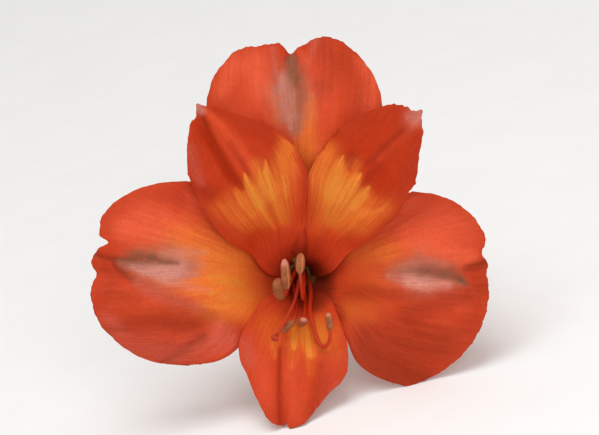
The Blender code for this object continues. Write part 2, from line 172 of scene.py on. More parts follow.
@dataclass
class Tepal:
    """One tepal: p runs out along its middle line, and q across it, anticlockwise as one looks in."""

    slot: str
    bell: Bell
    claw_angle: float
    blade_angle: float
    shoulder: float
    tip: float
    left: list
    right: list
    left_cap: tuple
    right_cap: tuple
    notches: list
    edges_back: float
    folds: list
    wave: tuple
    ragged: float
    tip_forward: float = 0.0
    strokes: dict = field(default_factory=dict)
    creases: list = field(default_factory=list)

    def end(self, t, q):
        """How far the blade reaches at the share t of its half width, with the notches cut in."""
        power = np.where(t > 0, self.left_cap[0], self.right_cap[0])
        squareness = np.where(t > 0, self.left_cap[1], self.right_cap[1])
        reach = self.shoulder + (self.tip - self.shoulder) * (1 - np.abs(t) ** power) ** squareness
        for at, deep, wide in self.notches:
            reach = reach - deep * np.exp(-(((q - at) / wide) ** 2))
        return reach

    def relief(self, p, q, t):
        """Height of the folds, waves and turned-back edges over the bell."""
        height = -self.edges_back * np.abs(t) ** EDGE_POWER
        for at, high, wide in self.folds:
            height = height + high * np.exp(-(((q - at) / wide) ** 2))
        wave_height, wave_length, wave_phase = self.wave
        height = height + wave_height * np.abs(t) * np.sin(math.tau * q / wave_length + wave_phase)
        lifted = self.tip_forward * smoothstep(RELIEF_TO, self.tip, p)
        return height * smoothstep(RELIEF_FROM, RELIEF_TO, p) + lifted

    def surface(self, s, t):
        """The sheet's points in the flower's axes, with p and q, at s from claw to end and t across."""
        crowded = s**ROW_CROWDING
        claw = self.bell.claw_radius
        station = claw + (self.shoulder - claw) * crowded
        q = t * np.where(t > 0, along(self.left, station), along(self.right, station))
        p = claw + (self.end(t, q) - claw) * crowded
        flat = smoothstep(WRAPPED_TO, FLAT_FROM, p)
        a = p * np.cos(q / p) * (1 - flat) + p * flat
        b = p * np.sin(q / p) * (1 - flat) + q * flat
        radius = np.hypot(a, b)
        swing = (self.claw_angle - self.blade_angle) * (1 - smoothstep(SWING_FROM, SWING_TO, radius))
        angle = np.radians(self.blade_angle + swing) + np.arctan2(b, a)
        height = SEAT_GAP + self.bell.height(radius) + self.relief(p, q, t)
        return np.column_stack((radius * np.cos(angle), radius * np.sin(angle), height)), p, q


# %% The six tepals
OUTER_CLAW = [(3.6, 2.2), (4.5, 3), (5.5, 3.7)]
INNER_CLAW = [(2.5, 1.5), (3.5, 2.25), (5, 3.2)]
WIDE_INNER_CLAW = [(2.5, 1.5), (3.5, 2.5), (5, 4.3)]

TEPALS = {
    "tepal_outer_top": Tepal(
        slot="outer_tepal", bell=OUTER_BELL, claw_angle=90, blade_angle=92, shoulder=33, tip=47.3,
        left=OUTER_CLAW + [(8, 5.2), (12, 8.2), (16, 11.4), (22, 15), (28, 17.4), (33, 17.2)],
        right=OUTER_CLAW + [(8, 5.2), (12, 8.2), (16, 11.4), (22, 15), (28, 17.4), (33, 17.8)],
        left_cap=(3.4, 0.5), right_cap=(2.8, 0.53),
        notches=[(0, 2.8, 1.7), (-2.9, 1, 1.5), (6, 0.9, 4), (-8.5, -0.9, 4), (13.8, 0.7, 2)],
        edges_back=3.2, folds=[(0, -2, 2.6), (7, 1, 4.5), (-7, 1, 4.5)],
        wave=(0.5, 11, 0.6), ragged=0.16,
    ),
    "tepal_outer_left": Tepal(
        slot="outer_tepal", bell=OUTER_BELL, claw_angle=210, blade_angle=178.5, shoulder=23, tip=41.6,
        left=OUTER_CLAW + [(8, 6.9), (10, 10.8), (12, 14.6), (16, 17.4), (23, 18.5)],
        right=OUTER_CLAW + [(8, 5.6), (12, 9.6), (16, 13.6), (21, 17.9), (23, 18.3)],
        left_cap=(2.7, 0.5), right_cap=(3, 0.5),
        notches=[(-5.75, 2.8, 0.9), (-7.3, 0.8, 1.3), (-4.2, 1.1, 1.2), (0.9, 1.2, 1.8), (-8.8, 0.4, 1.5),
                 (14.5, 0.6, 2.5)],
        edges_back=4, folds=[(0.3, -2, 2.6), (-7.5, 1.2, 4.5), (7, 0.8, 4.5)],
        wave=(0.6, 10, 0), ragged=0.13,
    ),
    "tepal_outer_right": Tepal(
        slot="outer_tepal", bell=OUTER_BELL, claw_angle=330, blade_angle=357.7, shoulder=22, tip=38,
        left=OUTER_CLAW + [(8, 5.6), (12, 9.6), (16, 13.4), (22, 17.9)],
        right=OUTER_CLAW + [(8, 7.6), (10, 12.3), (12, 16.4), (16, 19.3), (22, 21.2)],
        left_cap=(2.85, 0.5), right_cap=(2.4, 0.74),
        notches=[(6.2, 1.5, 1.5), (2.2, 0.6, 2.2)],
        edges_back=4, folds=[(0, -2, 2.6), (7.5, 1.2, 4.5), (-7, 0.8, 4.5)],
        wave=(0.6, 12, 2), ragged=0.14,
    ),
    "tepal_inner_left": Tepal(
        slot="inner_tepal", bell=INNER_BELL, claw_angle=150, blade_angle=120.6, shoulder=28.5, tip=39.3,
        left=INNER_CLAW + [(8, 5.6), (13.4, 8.8), (18, 9.6), (21.5, 9.65), (28.5, 8.7)],
        right=INNER_CLAW + [(8, 6.1), (12.3, 9.1), (16.6, 11.8), (21.5, 12.5), (28.5, 10.4)],
        left_cap=(1.4, 0.88), right_cap=(1.25, 1),
        notches=[(1.6, 0.8, 0.9), (0, -0.45, 0.35)],
        edges_back=1.6, folds=[(1.2, -1.5, 1.6), (-1.8, 0.7, 2)],
        wave=(0.4, 9, 1), tip_forward=0.8, ragged=0.1,
    ),
    "tepal_inner_right": Tepal(
        slot="inner_tepal", bell=INNER_BELL, claw_angle=30, blade_angle=54, shoulder=28.5, tip=40.7,
        left=INNER_CLAW + [(8, 4.6), (13.1, 7.5), (17, 10.15), (21, 10.95), (28.5, 10.5)],
        right=INNER_CLAW + [(8, 4.8), (13.2, 6.8), (17, 7.8), (22, 8.4), (28.5, 7.8)],
        left_cap=(2.05, 0.8), right_cap=(1.3, 1),
        notches=[(2.4, 0.6, 1), (1.1, 0.6, 0.8), (-0.4, -0.4, 0.4), (-2.9, -0.5, 0.9)],
        edges_back=1.6, folds=[(-1, -1.2, 1.8), (1.8, 0.5, 2.2)],
        wave=(0.4, 9, 2.4), tip_forward=0.8, ragged=0.28,
    ),
    "tepal_inner_bottom": Tepal(
        slot="bottom_tepal", bell=INNER_BELL, claw_angle=270, blade_angle=266.2, shoulder=18, tip=30.4,
        left=WIDE_INNER_CLAW + [(7, 7.6), (11, 10), (14.5, 10.8), (18, 10.9)],
        right=WIDE_INNER_CLAW + [(7, 7.4), (11, 10), (14.5, 11.1), (18, 10.5)],
        left_cap=(1.42, 1), right_cap=(1.7, 0.9),
        notches=[(-0.5, 1.2, 0.4), (-1.6, 0.3, 0.7), (-4, -0.8, 1.6), (-8.9, 1, 1.4),
                 (3, -0.65, 1.1), (7.4, 0.35, 1.2), (9.7, -0.8, 1.1)],
        edges_back=2.6, folds=[(-1.2, -1.2, 1.5), (6.5, -0.6, 2)],
        wave=(0.3, 8, 0.5), tip_forward=-0.8, ragged=0.1,
    ),
}
print(len(TEPALS), "tepals described")

# %% [markdown]
# ## Markings, as a painter would lay them
#
# The tepals carry yellow flames, a sunken grey-pink patch behind each notch, dark lines and bright
# swellings. Each is one brush stroke: its strength, then the points that it passes through, as (x, y,
# width) in millimetres from the flower's axis as one looks in. A stroke is strongest on its line and
# fades to both sides. Strokes of one kind never add up to more than full strength. Each kind is kept on
# the mesh as a named attribute that the petal's material reads, so a mark stays on its petal from every
# side. The strokes are soft here, and the material breaks up their edges. The bright strokes are painted
# light where lobes and ridges catch the light, and the dark strokes painted shade where folds, grooves
# and neighbouring tepals shade the sheet. The patch lies in a sunken channel: its greenish-brown side is
# partly its own colour and partly painted shade, and its pale side partly painted light.
#
# A crease is laid in the same way but moves the sheet. Its first number is how many millimetres it stands
# out, or sinks where that is below zero. Most creases are what folding in the bud left. A wide one lifts
# the top tepal deep in the throat, and another lays the left inner tepal's margin over the right one's.

# %% How a stroke fades, and how a tepal gets its marks
KINDS = ("orange", "gold", "bright", "dark", "blush", "patch", "olive", "pale")
STROKE_SOFTNESS = 1.6


def stroke_strength(x, y, stops):
    """1 on the stroke's line, falling off smoothly over its width on both sides."""
    best = np.zeros_like(x)
    for (x0, y0, w0), (x1, y1, w1) in zip(stops, stops[1:]):
        dx, dy = x1 - x0, y1 - y0
        share = np.clip(((x - x0) * dx + (y - y0) * dy) / (dx * dx + dy * dy), 0.0, 1.0)
        distance = np.hypot(x - x0 - share * dx, y - y0 - share * dy)
        width = w0 + (w1 - w0) * share
        best = np.maximum(best, np.exp(-((distance / (STROKE_SOFTNESS * width)) ** 2)))
    return best


def mark(name, creases, **strokes):
    """Give a tepal its creases, and its strokes listed by kind."""
    TEPALS[name].creases = creases
    TEPALS[name].strokes = strokes
    print(name, "has", sum(map(len, strokes.values())), "strokes and", len(creases), "creases")


print("kinds of strokes:", ", ".join(KINDS))

# %% The top tepal's marks
# The bright strokes are painted light and the dark strokes painted shade.
# The patch's greenish-brown strokes are partly painted shade and its pale strokes partly painted light.
mark(
    "tepal_outer_top",
    orange=[
        (0.6, (2.4, 36, 0.6), (2.1, 33, 1.2), (1.5, 29.5, 1.7), (1.4, 25.5, 2.2), (0.9, 22, 1.6)),
        (0.35, (-5, 36, 0.6), (-4.2, 32, 1)),
    ],
    bright=[
        (1, (0.3, 20, 1.4), (0.2, 14, 1.6), (0.2, 8, 1.4)),
        (0.8, (-15.5, 37, 1.6), (-13, 42, 2), (-9, 42, 2.4), (-8, 37, 2)),
        (0.6, (0.3, 44.6, 0.5), (1.2, 42.8, 0.7)),
        (0.75, (12.5, 43, 1.2), (14.8, 39, 2), (13.8, 35, 2)),
    ],
    dark=[
        (0.45, (4.5, 46, 1.6), (7, 42, 2.6), (5.5, 38, 1.6)),
        (0.25, (3.8, 37, 1.2), (3.2, 27.5, 1)),
        (0.85, (-2.6, 43, 0.4), (-1.5, 43.9, 0.5), (-0.5, 43.2, 0.4)),
        (0.6, (-1.6, 44.6, 0.5), (-1.5, 43.4, 0.5)),
        (0.35, (-0.6, 43, 0.3), (-0.4, 39, 0.35), (-0.6, 34.5, 0.3)),
    ],
    blush=[
        (0.6, (-5.3, 45.2, 0.6), (-5, 42, 0.6), (-4.7, 39.5, 0.4)),
        (0.4, (3.2, 47, 0.8), (2.4, 44, 0.5), (1.9, 41.5, 0.4)),
    ],
    patch=[
        (0.88, (-1.3, 44.4, 0.3), (-1.5, 42.8, 0.9), (-1.6, 40.5, 1.7), (-1.9, 36.5, 2.9), (-1.5, 33, 2.5),
         (-0.8, 29.5, 1.2)),
    ],
    olive=[
        (0.75, (-1.5, 44.6, 0.3), (-1.4, 42.8, 0.8), (-1, 40.6, 1), (-0.4, 38, 0.5)),
        (0.35, (0.2, 41, 0.9), (0.8, 37.5, 1.4), (0.8, 33.5, 1.1)),
    ],
    pale=[
        (0.5, (-3.2, 40, 0.7), (-2.9, 36.5, 1.4), (-2.4, 33, 1.1), (-1.8, 29.6, 0.5)),
    ],
    creases=[
        (1.5, (0.4, 18.5, 1.2), (0.3, 13, 1.4), (0.2, 8, 1.2)),
        (-0.45, (-1.6, 44.5, 0.4), (-1.2, 41, 0.6), (-0.7, 37, 0.6), (-0.6, 33, 0.5)),
        (-0.25, (-4.9, 45.5, 0.4), (-4.6, 42, 0.5), (-4.4, 38, 0.5)),
        (-0.3, (2.9, 47, 0.5), (2.4, 43, 0.6), (2.8, 38, 0.5)),
    ],
)

# %% The left outer tepal's marks
# The bright strokes are painted light and the dark strokes painted shade.
# The patch's greenish-brown strokes are partly painted shade and its pale strokes partly painted light.
mark(
    "tepal_outer_left",
    orange=[
        (1, (-8.5, -2.5, 3.5), (-14, 0, 4.8), (-21.5, 2.5, 4.4)),
        (0.7, (-9, -6.5, 1.8), (-15, -7, 1.8), (-19.5, -6, 1.1)),
    ],
    gold=[
        (0.95, (-11.5, -1.4, 0.6), (-14.5, -0.8, 0.9), (-17.5, -0.4, 0.8)),
        (0.7, (-10, -4.3, 0.6), (-13.5, -4.2, 0.8), (-17.5, -3.6, 0.6)),
        (0.47, (-12.5, 2.8, 0.6), (-16, 4.3, 0.7), (-19, 5.6, 0.5)),
        (0.4, (-9.6, -2.9, 0.3), (-13, -2.5, 0.4), (-18, -1.9, 0.2)),
        (0.5, (-11, -5.8, 0.3), (-15, -6.3, 0.5), (-19.5, -6, 0.2)),
        (0.3, (-11, 0.6, 0.3), (-15, 1.6, 0.4), (-19.5, 2.4, 0.2)),
    ],
    bright=[
        (0.95, (-34.5, 9.5, 2), (-30, 10.5, 3.2), (-24.5, 9.5, 3.2)),
        (0.35, (-37, -5.5, 1.2), (-30, -4.6, 1), (-24, -5.6, 1.2), (-18.5, -7.2, 1)),
        (0.6, (-22, 16, 0.9), (-17.5, 12, 1.1), (-12.5, 7, 0.9)),
    ],
    dark=[
        (0.9, (-40.6, 4.6, 0.4), (-38.5, 3.6, 0.5), (-36.3, 3.5, 0.4)),
        (0.8, (-36.9, 2.6, 0.4), (-35.4, 0.6, 0.5), (-33.2, -0.9, 0.4)),
        (0.4, (-37.5, -3, 1.6), (-32.5, -4.6, 1.2)),
        (0.4, (-39, 1.2, 0.7), (-37, 0.2, 0.9)),
        (0.42, (-36, 2, 0.5), (-31, -1.9, 0.9), (-25, -4.8, 1.2), (-18, -7.6, 1.3), (-13.5, -10, 1.6),
         (-11, -12, 1.2)),
        (0.55, (-38.5, -10.5, 1), (-33, -9.8, 1.7), (-27, -9.3, 1.8), (-21, -10, 1.3)),
        (0.65, (-27.5, -17.2, 0.6), (-24, -15.6, 0.7), (-19.5, -12.6, 0.9)),
        (0.22, (-37, -7, 3), (-28, -12, 4.5), (-20, -11, 2)),
        (0.5, (-36.2, 3.3, 0.3), (-31, 3.2, 0.3), (-26.5, 2.7, 0.3)),
    ],
    blush=[
        (0.4, (-17, -9.3, 0.9), (-14.6, -11.4, 1.7), (-12.8, -14, 1)),
        (0.45, (-32.5, -1.6, 0.7), (-26, -4.2, 1.3), (-19.5, -6.4, 1)),
        (0.3, (-30, 5.6, 0.6), (-25, 6.2, 1.2), (-20.5, 5.4, 1)),
        (0.4, (-38.5, -8, 1.2), (-34, -13.5, 2), (-25, -16, 2.4), (-17, -13.5, 2)),
    ],
    patch=[
        (0.72, (-35.2, 2.6, 0.8), (-31, 2.2, 2.3), (-27, 1.8, 2.9), (-25, 1.7, 2.3)),
        (0.35, (-25.5, 1.8, 2.3), (-21, 1.6, 1.6)),
    ],
    olive=[
        (0.73, (-36, 3.2, 0.5), (-33, 3.7, 1.2), (-30, 3.6, 1.2), (-26.5, 3, 0.7), (-24.3, 2.7, 0.4)),
    ],
    pale=[
        (0.4, (-33, 2, 0.3), (-30.5, 1.2, 0.6), (-26.5, 0.7, 0.9), (-20.5, 0.2, 0.5)),
        (0.35, (-28, -0.6, 0.5), (-24.5, -1.6, 0.9), (-18, -3, 0.5)),
        (0.35, (-27.5, 4.4, 0.6), (-23.5, 4.9, 0.9), (-18.5, 4.8, 0.5)),
        (0.74, (-33.2, 2, 0.6), (-30, 1.5, 1.2), (-26.5, 1.5, 1.4), (-24, 1.7, 1.1)),
        (0.4, (-26, 1.7, 1.5), (-22, 2.2, 1.3), (-19.5, 2.2, 0.8)),
    ],
    creases=[
        (-0.5, (-40.5, 4.4, 0.35), (-37.5, 3.7, 0.4), (-34.5, 3.3, 0.5), (-30, 3.1, 0.7),
         (-25.5, 2.6, 0.5)),
        (-0.3, (-36.9, 2.4, 0.4), (-35.2, 0.3, 0.5), (-32.5, -1.2, 0.5)),
        (-0.45, (-37, -11.5, 0.7), (-31, -9.6, 1.1), (-24, -9.6, 1.3), (-17, -9.4, 1)),
        (0.3, (-34, -13.8, 1), (-27, -13, 1.3)),
        (-0.35, (-27.5, -17.4, 0.5), (-23, -15, 0.6), (-18, -12, 0.6)),
    ],
)

# %% The right outer tepal's marks
# The bright strokes are painted light and the dark strokes painted shade.
# The patch's greenish-brown strokes are partly painted shade and its pale strokes partly painted light.
mark(
    "tepal_outer_right",
    orange=[
        (0.3, (9.5, -4, 3.3), (13.5, -1, 5.1), (18.5, 2, 3.7)),
        (0.35, (10.5, 4, 1.8), (17, 5.2, 1.8)),
        (0.4, (9, -6.5, 1.4), (12, -8, 1.8), (14.5, -8.5, 1.2)),
    ],
    bright=[
        (1, (9.5, 4.5, 0.9), (15.5, 9.5, 1.3), (21.5, 15, 1.5)),
        (1, (34.5, 3.6, 1), (31, 4.3, 1.6), (25.5, 5.6, 1.9), (22, 6.5, 1.5)),
        (0.6, (33, 9, 2.5), (26, 11, 3.4), (21, 9.6, 2)),
    ],
    dark=[
        (0.25, (9.5, -6, 2.4), (13.5, -3.5, 3), (15.5, 3, 3)),
        (0.3, (36.5, -4, 1.5), (34, -10, 2)),
        (0.85, (37.8, 3, 0.7), (35, 2, 0.7), (33.3, 1.6, 0.5)),
        (0.5, (34, -4.4, 0.8), (29, -5.7, 1.2), (22, -7.4, 1.2)),
        (0.5, (6, -3, 1.5), (14, -3.4, 1.1), (22, -4, 1), (30, -3.6, 1.2), (36.5, -2.4, 1)),
        (0.8, (5, -1, 0.9), (6.4, -5, 1.2), (8, -8.5, 0.9)),
        (0.72, (14, -12, 3), (21, -12.5, 4.2), (28, -13, 3)),
        (1, (13.5, -16, 1.8), (19, -20, 2.8), (25, -21.2, 1.8)),
    ],
    patch=[
        (0.7, (32.6, -1.2, 0.8), (29, 0.4, 2), (24.5, 0.6, 2.7), (22.5, 0.7, 2.1)),
        (0.35, (23, 0.7, 2.1), (18.5, 0.6, 1.4)),
    ],
    olive=[
        (0.48, (33.4, -1.6, 0.4), (31, 0.2, 1), (27.5, 1, 1.4), (24.5, 0.9, 0.9)),
        (0.3, (25.5, 1, 1.1), (20.5, 0.7, 0.7)),
        (0.5, (33.4, -1.6, 0.3), (31.2, -0.4, 0.5), (28, 0.2, 0.4)),
    ],
    pale=[
        (0.66, (29.5, -1.7, 0.9), (25.5, -1.3, 1.3), (22.5, -0.8, 1.1)),
        (0.42, (24, -0.8, 1.3), (20.5, -0.3, 1), (18, 0.1, 0.6)),
        (0.3, (21, 2, 0.6), (23.5, 2.6, 1), (26, 2.6, 1), (29, 2.2, 0.7)),
    ],
    creases=[
        (-0.45, (33.2, -1.6, 0.4), (30, 0.6, 0.6), (26, 0.9, 0.7), (21.5, 0.9, 0.6)),
        (-0.35, (37.8, 3, 0.5), (34, 1.7, 0.5)),
        (-0.3, (34, -3.6, 0.5), (28, -5.4, 0.6), (20, -7.2, 0.6)),
        (0.3, (30, 4, 1.1), (24, 5.2, 1.2)),
    ],
)

# %% The left inner tepal's marks
# The bright strokes are painted light and the dark strokes painted shade.
mark(
    "tepal_inner_left",
    orange=[
        (0.75, (-2.4, 26, 1.3), (-3, 21, 1.9), (-3.6, 15.5, 1.7), (-2.8, 11, 1)),
        (0.6, (-8.6, 22.4, 0.9), (-7.6, 18.5, 1.3)),
        (0.5, (-12, 15.6, 1.8), (-9.5, 13.6, 2.3), (-6.5, 11, 1.6)),
        (0.36, (-16.5, 13.6, 1.5), (-11, 10.8, 1.8)),
    ],
    gold=[
        (0.95, (-6.7, 23.2, 0.1), (-6.5, 20.8, 0.5), (-6.2, 18.6, 0.9), (-5.5, 16.2, 0.7)),
        (0.8, (-8.2, 21.8, 0.1), (-7.6, 19.6, 0.5), (-6.6, 17, 0.5)),
        (0.5, (-5.8, 16.6, 0.7), (-4.8, 13.8, 0.5), (-3.6, 11, 0.4)),
        (0.95, (-10.9, 20.6, 0.1), (-10.2, 18.6, 0.5), (-9.4, 16.9, 0.9), (-8, 14.4, 0.8)),
        (0.5, (-8.2, 14.8, 0.8), (-6.6, 12, 0.6), (-5, 9.8, 0.4)),
        (0.57, (-12.8, 17.4, 0.3), (-11.4, 14.6, 0.7), (-9.2, 12, 0.5)),
        (0.47, (-3.4, 20.4, 0.3), (-2.9, 17.6, 0.7), (-2.6, 15.8, 0.3)),
    ],
    bright=[
        (0.7, (-0.9, 10, 0.8), (-0.6, 16, 0.9), (-0.9, 22, 0.8)),
        (0.9, (-19.2, 33, 0.5), (-15.3, 29.8, 0.9), (-11.8, 25.4, 0.9), (-8.8, 21.2, 0.7)),
        (0.6, (-17, 29, 0.8), (-14.2, 24.4, 0.8), (-11.2, 19.6, 0.7)),
        (0.4, (-4, 28.6, 0.9), (-3.3, 26.4, 0.8)),
        (0.45, (-22.4, 29, 0.7), (-21.8, 25, 0.8)),
    ],
    dark=[
        (0.1, (-0.6, 6, 0.5), (-0.2, 12, 0.7), (-0.1, 18.5, 0.6), (-0.4, 22, 0.3)),
        (0.48, (-19.5, 32.8, 0.5), (-18, 28.6, 0.8), (-16.2, 24.6, 0.9), (-13.6, 20.2, 0.8),
         (-11.6, 17.6, 0.5)),
        (0.4, (-13.6, 26.6, 0.6), (-11.6, 23.2, 0.7), (-10, 20.4, 0.4)),
        (0.5, (-20.5, 17.5, 1.2), (-18, 16.4, 1.2)),
        (0.25, (-8.3, 20.6, 0.25), (-7.2, 17.6, 0.35), (-5.4, 14.2, 0.25)),
    ],
    blush=[
        (0.4, (-21.6, 25.5, 0.9), (-20.9, 21.5, 1.1), (-19.5, 18.8, 0.8)),
    ],
    pale=[
        (0.69, (-20.2, 34, 0.7), (-19.2, 32.8, 0.6)),
    ],
    creases=[
        (-0.4, (-19.6, 33, 0.3), (-18, 28.6, 0.5), (-16.2, 24.6, 0.6), (-13.6, 20.2, 0.6),
         (-11.2, 17.2, 0.4)),
        (0.3, (-18.9, 32.6, 0.4), (-17, 28.8, 0.6), (-14.4, 24.4, 0.6), (-11.2, 19.6, 0.5),
         (-8.8, 16, 0.4)),
        (-0.25, (-14.5, 28, 0.4), (-12.2, 24, 0.5), (-9.7, 20.2, 0.5)),
        (0.5, (0.2, 9, 0.7), (0.6, 14, 0.9), (0.8, 20, 1), (0.4, 24, 0.8)),
        (0.3, (-18.5, 33, 0.4), (-15.2, 29.8, 0.6), (-11.2, 24.4, 0.7), (-8.2, 20.2, 0.5)),
    ],
)

# %% The right inner tepal's marks
# The bright strokes are painted light and the dark strokes painted shade.
mark(
    "tepal_inner_right",
    orange=[
        (0.7, (5.5, 24.5, 1.8), (5.7, 18, 2.8), (5.4, 12.5, 2), (3.8, 9.5, 1.2)),
        (0.5, (11.2, 22.4, 0.9), (9.8, 18.5, 1.3)),
        (0.7, (12.5, 15.5, 1.6), (11, 12.6, 2.2), (8.5, 10.5, 1.6)),
        (0.5, (17, 13.6, 1.5), (12.5, 11, 1.8)),
        (0.35, (2.4, 26, 1.2), (2.8, 20, 1.1)),
    ],
    gold=[
        (0.82, (8.9, 24.2, 0.1), (8.2, 22.2, 0.7), (7.6, 20.2, 1.2), (6.8, 17.4, 1.4)),
        (0.45, (6.9, 17.6, 1.3), (6.4, 14, 1), (5.4, 11.4, 0.6)),
        (0.85, (12, 20.2, 0.4), (10.2, 17.9, 1.1), (8.9, 15.6, 1.2)),
        (0.5, (8.9, 15.6, 1.1), (7.6, 13, 0.8), (6, 10.4, 0.5)),
        (0.82, (13.9, 17.7, 0.3), (12.7, 16, 0.9), (11.2, 14.5, 0.9)),
        (0.5, (11.2, 14.5, 0.9), (8.8, 12.2, 0.6), (7, 10, 0.4)),
        (0.47, (16.6, 13.4, 0.3), (14, 12.7, 0.6), (11, 11.6, 0.5)),
        (0.3, (4.6, 20.5, 0.6), (4.8, 16.5, 0.7)),
    ],
    bright=[
        (0.6, (1.2, 10, 0.8), (1.3, 16, 0.9), (1.7, 22, 0.8)),
        (0.45, (22.6, 30.4, 0.9), (19.5, 26.9, 1), (16, 23.6, 0.8)),
    ],
    dark=[
        (0.2, (0.2, 6, 0.5), (0.6, 12, 0.7), (0.7, 18.5, 0.6), (1.2, 22, 0.3)),
        (0.55, (20.5, 29, 0.5), (17, 25.7, 0.6), (14, 22.8, 0.5)),
        (0.5, (10.9, 24, 0.9), (10.1, 21.2, 0.45)),
        (0.4, (14.2, 20.4, 0.8), (12.4, 18.2, 0.35)),
        (0.25, (12, 29.5, 2.4), (18, 31.6, 2)),
        (0.3, (21, 22, 1.6), (22.5, 27, 1.4)),
    ],
    pale=[
        (0.62, (24, 33, 1.2), (22.8, 31.4, 1.4)),
    ],
    creases=[
        (-0.35, (20.5, 29, 0.4), (17, 25.6, 0.5), (14, 22.6, 0.5), (11.5, 20, 0.4)),
        (0.25, (23, 30.6, 0.6), (19.6, 27, 0.7), (15.8, 23.2, 0.6)),
    ],
)

# %% The bottom tepal's marks
# The bright strokes are painted light and the dark strokes painted shade.
mark(
    "tepal_inner_bottom",
    orange=[
        (0.45, (-6, -9.5, 2.4), (-5.4, -13, 1.8)),
        (0.45, (-0.6, -10.5, 1.5), (-1, -14.5, 1.1), (-1.2, -18, 0.6)),
        (0.4, (1.5, -12, 1.3), (2.2, -16, 1), (2.3, -19.5, 0.6)),
        (0.75, (4, -9, 1.3), (4.6, -12.6, 1.3)),
        (0.35, (7, -11, 1.3), (7, -15, 1.5)),
    ],
    gold=[
        (1, (0.8, -9.2, 0.5), (1.2, -11.6, 0.9), (2.3, -15.8, 0.6)),
        (0.9, (-0.8, -10, 0.6), (-1, -12.4, 0.7), (-0.9, -14.6, 0.3)),
        (0.62, (3.6, -8.4, 0.3), (4.3, -11, 0.6), (4.7, -13, 0.5)),
        (0.35, (-5.4, -12.6, 0.5), (-4.9, -16.2, 0.5)),
    ],
    bright=[
        (0.8, (1.2, -6, 1.2), (1.8, -10.5, 1.4)),
        (0.7, (-2, -18, 0.6), (-1.3, -27.6, 1.1)),
        (0.6, (-7.4, -17, 1.4), (-6.6, -25, 1.3)),
        (0.3, (8, -16.5, 1.2), (7, -19, 1)),
    ],
    dark=[
        (0.6, (-3.8, -14.5, 0.3), (-3.9, -18.5, 0.45), (-3.8, -23, 0.6), (-3.5, -29.2, 0.75)),
        (0.42, (4.2, -18, 0.8), (4.2, -23, 1.3), (2.6, -27.6, 1)),
        (0.15, (6.5, -20, 1.4), (5, -24.6, 1.2)),
        (0.4, (5.2, -14.3, 0.5), (3.2, -13.2, 0.3)),
    ],
    blush=[
        (0.4, (-10.6, -13, 1.2), (-9.8, -17, 1.2)),
        (0.35, (7.8, -21.6, 0.6), (6, -24.4, 0.7), (4.2, -26.8, 0.5)),
    ],
    creases=[
        (-0.4, (-3.7, -15.5, 0.4), (-3.8, -19, 0.45), (-3.8, -23.5, 0.5), (-3.5, -29.4, 0.5)),
        (0.25, (-1.8, -17, 0.6), (-1.4, -28, 0.8)),
        (0.2, (-6.2, -17, 1), (-6.2, -25, 0.9)),
        (-0.35, (3.2, -17, 0.6), (3.6, -22, 0.7), (2.2, -28, 0.6)),
    ],
)

# %% [markdown]
# ## Building the petals
#
# A grid primitive serves as a square of cloth: its columns become lines from claw to tip, and its rows
# run across. Every vertex is moved onto the tepal's sheet. The ragged margin, fine veins, a slight
# crumple and the creases go on while it is still a single sheet, because then one formula does for
# both faces. A Solidify modifier gives the back face and the thin rim, and puts the back of the petal in
# a material slot of its own.


# %% Helpers for making pieces
def deselect():
    """Leave nothing selected, because an operator acts on all that is selected."""
    for other in bpy.context.selected_objects:
        other.select_set(False)


def read_points(mesh):
    points = np.empty(len(mesh.vertices) * 3)
    mesh.vertices.foreach_get("co", points)
    return points.reshape(-1, 3)


def write_points(mesh, points):
    mesh.vertices.foreach_set("co", np.ascontiguousarray(points, dtype=float).ravel())
    mesh.update()


def keep(mesh, name, values):
    """Store one number for each vertex, which a material reads by its name."""
    layer = mesh.attributes.new(name, "FLOAT", "POINT")
    layer.data.foreach_set("value", np.asarray(values, np.float32))


def apply_modifiers(piece):
    deselect()
    piece.select_set(True)
    bpy.context.view_layer.objects.active = piece
    for modifier in list(piece.modifiers):
        bpy.ops.object.modifier_apply(modifier=modifier.name)


def count_triangles(piece):
    return sum(len(face.vertices) - 2 for face in piece.data.polygons)


# %% Ragged margins, veins and crumple
# Veins and crumple grow in between the first two distances from the axis, side teeth between the others.
BLADE_FROM, BLADE_TO = 8.0, 20.0
FRAYED_FROM, FRAYED_TO = 15.0, 24.0
# How closely the teeth keep to the sides, and to the blade's end.
MARGIN_POWER, CROWN_POWER = 10, 14
# Waves as (height, length). The teeth's heights are shares of the tepal's raggedness.
END_TEETH = [(0.6, 3.1), (0.4, 1.3), (0.2, 0.8)]
SIDE_TEETH = [(0.6, 3.7), (0.35, 1.5), (0.2, 0.9)]
CRUMPLE, CRUMPLE_SKEW = 0.2, (0.4, 0.3)
CRUMPLE_ACROSS, CRUMPLE_ALONG = [(0.6, 7.3), (0.4, 4.1)], [(0.7, 9.1), (0.4, 5.3)]
# The veins stray by waves given as (angle, how often along, how often across, phase).
VEINS_PER_SIDE, VEIN_HEIGHT = 11, 0.016
VEIN_WANDERS = [(0.9, 5, 3, 0), (1.3, 0, 7, 2)]


def ripple(x, waves, phases):
    """A sum of sine waves, each given as (height, length), with its phase."""
    return sum(high * np.sin(math.tau * x / long + phase) for (high, long), phase in zip(waves, phases))


def fray(points, tepal, p, q, s, t):
    """Move the margin in and out, by waves whose phases are the tepal's own sizes, so no two are alike."""
    outward = tepal.ragged * s**CROWN_POWER * ripple(q, END_TEETH, (tepal.tip, tepal.shoulder, 1.0))
    frayed = np.abs(t) ** MARGIN_POWER * np.sign(t) * smoothstep(FRAYED_FROM, FRAYED_TO, p)
    sideways = tepal.ragged * frayed * ripple(p, SIDE_TEETH, (tepal.tip, 0.4, 2.0))
    turn = math.radians(tepal.blade_angle)
    points[:, 0] += outward * math.cos(turn) - sideways * math.sin(turn)
    points[:, 1] += outward * math.sin(turn) + sideways * math.cos(turn)


def vein_wander(s, t):
    """How far the veins stray from even spacing, as an angle of their wave."""
    return sum(far * np.sin(up * s + over * t + phase) for far, up, over, phase in VEIN_WANDERS)


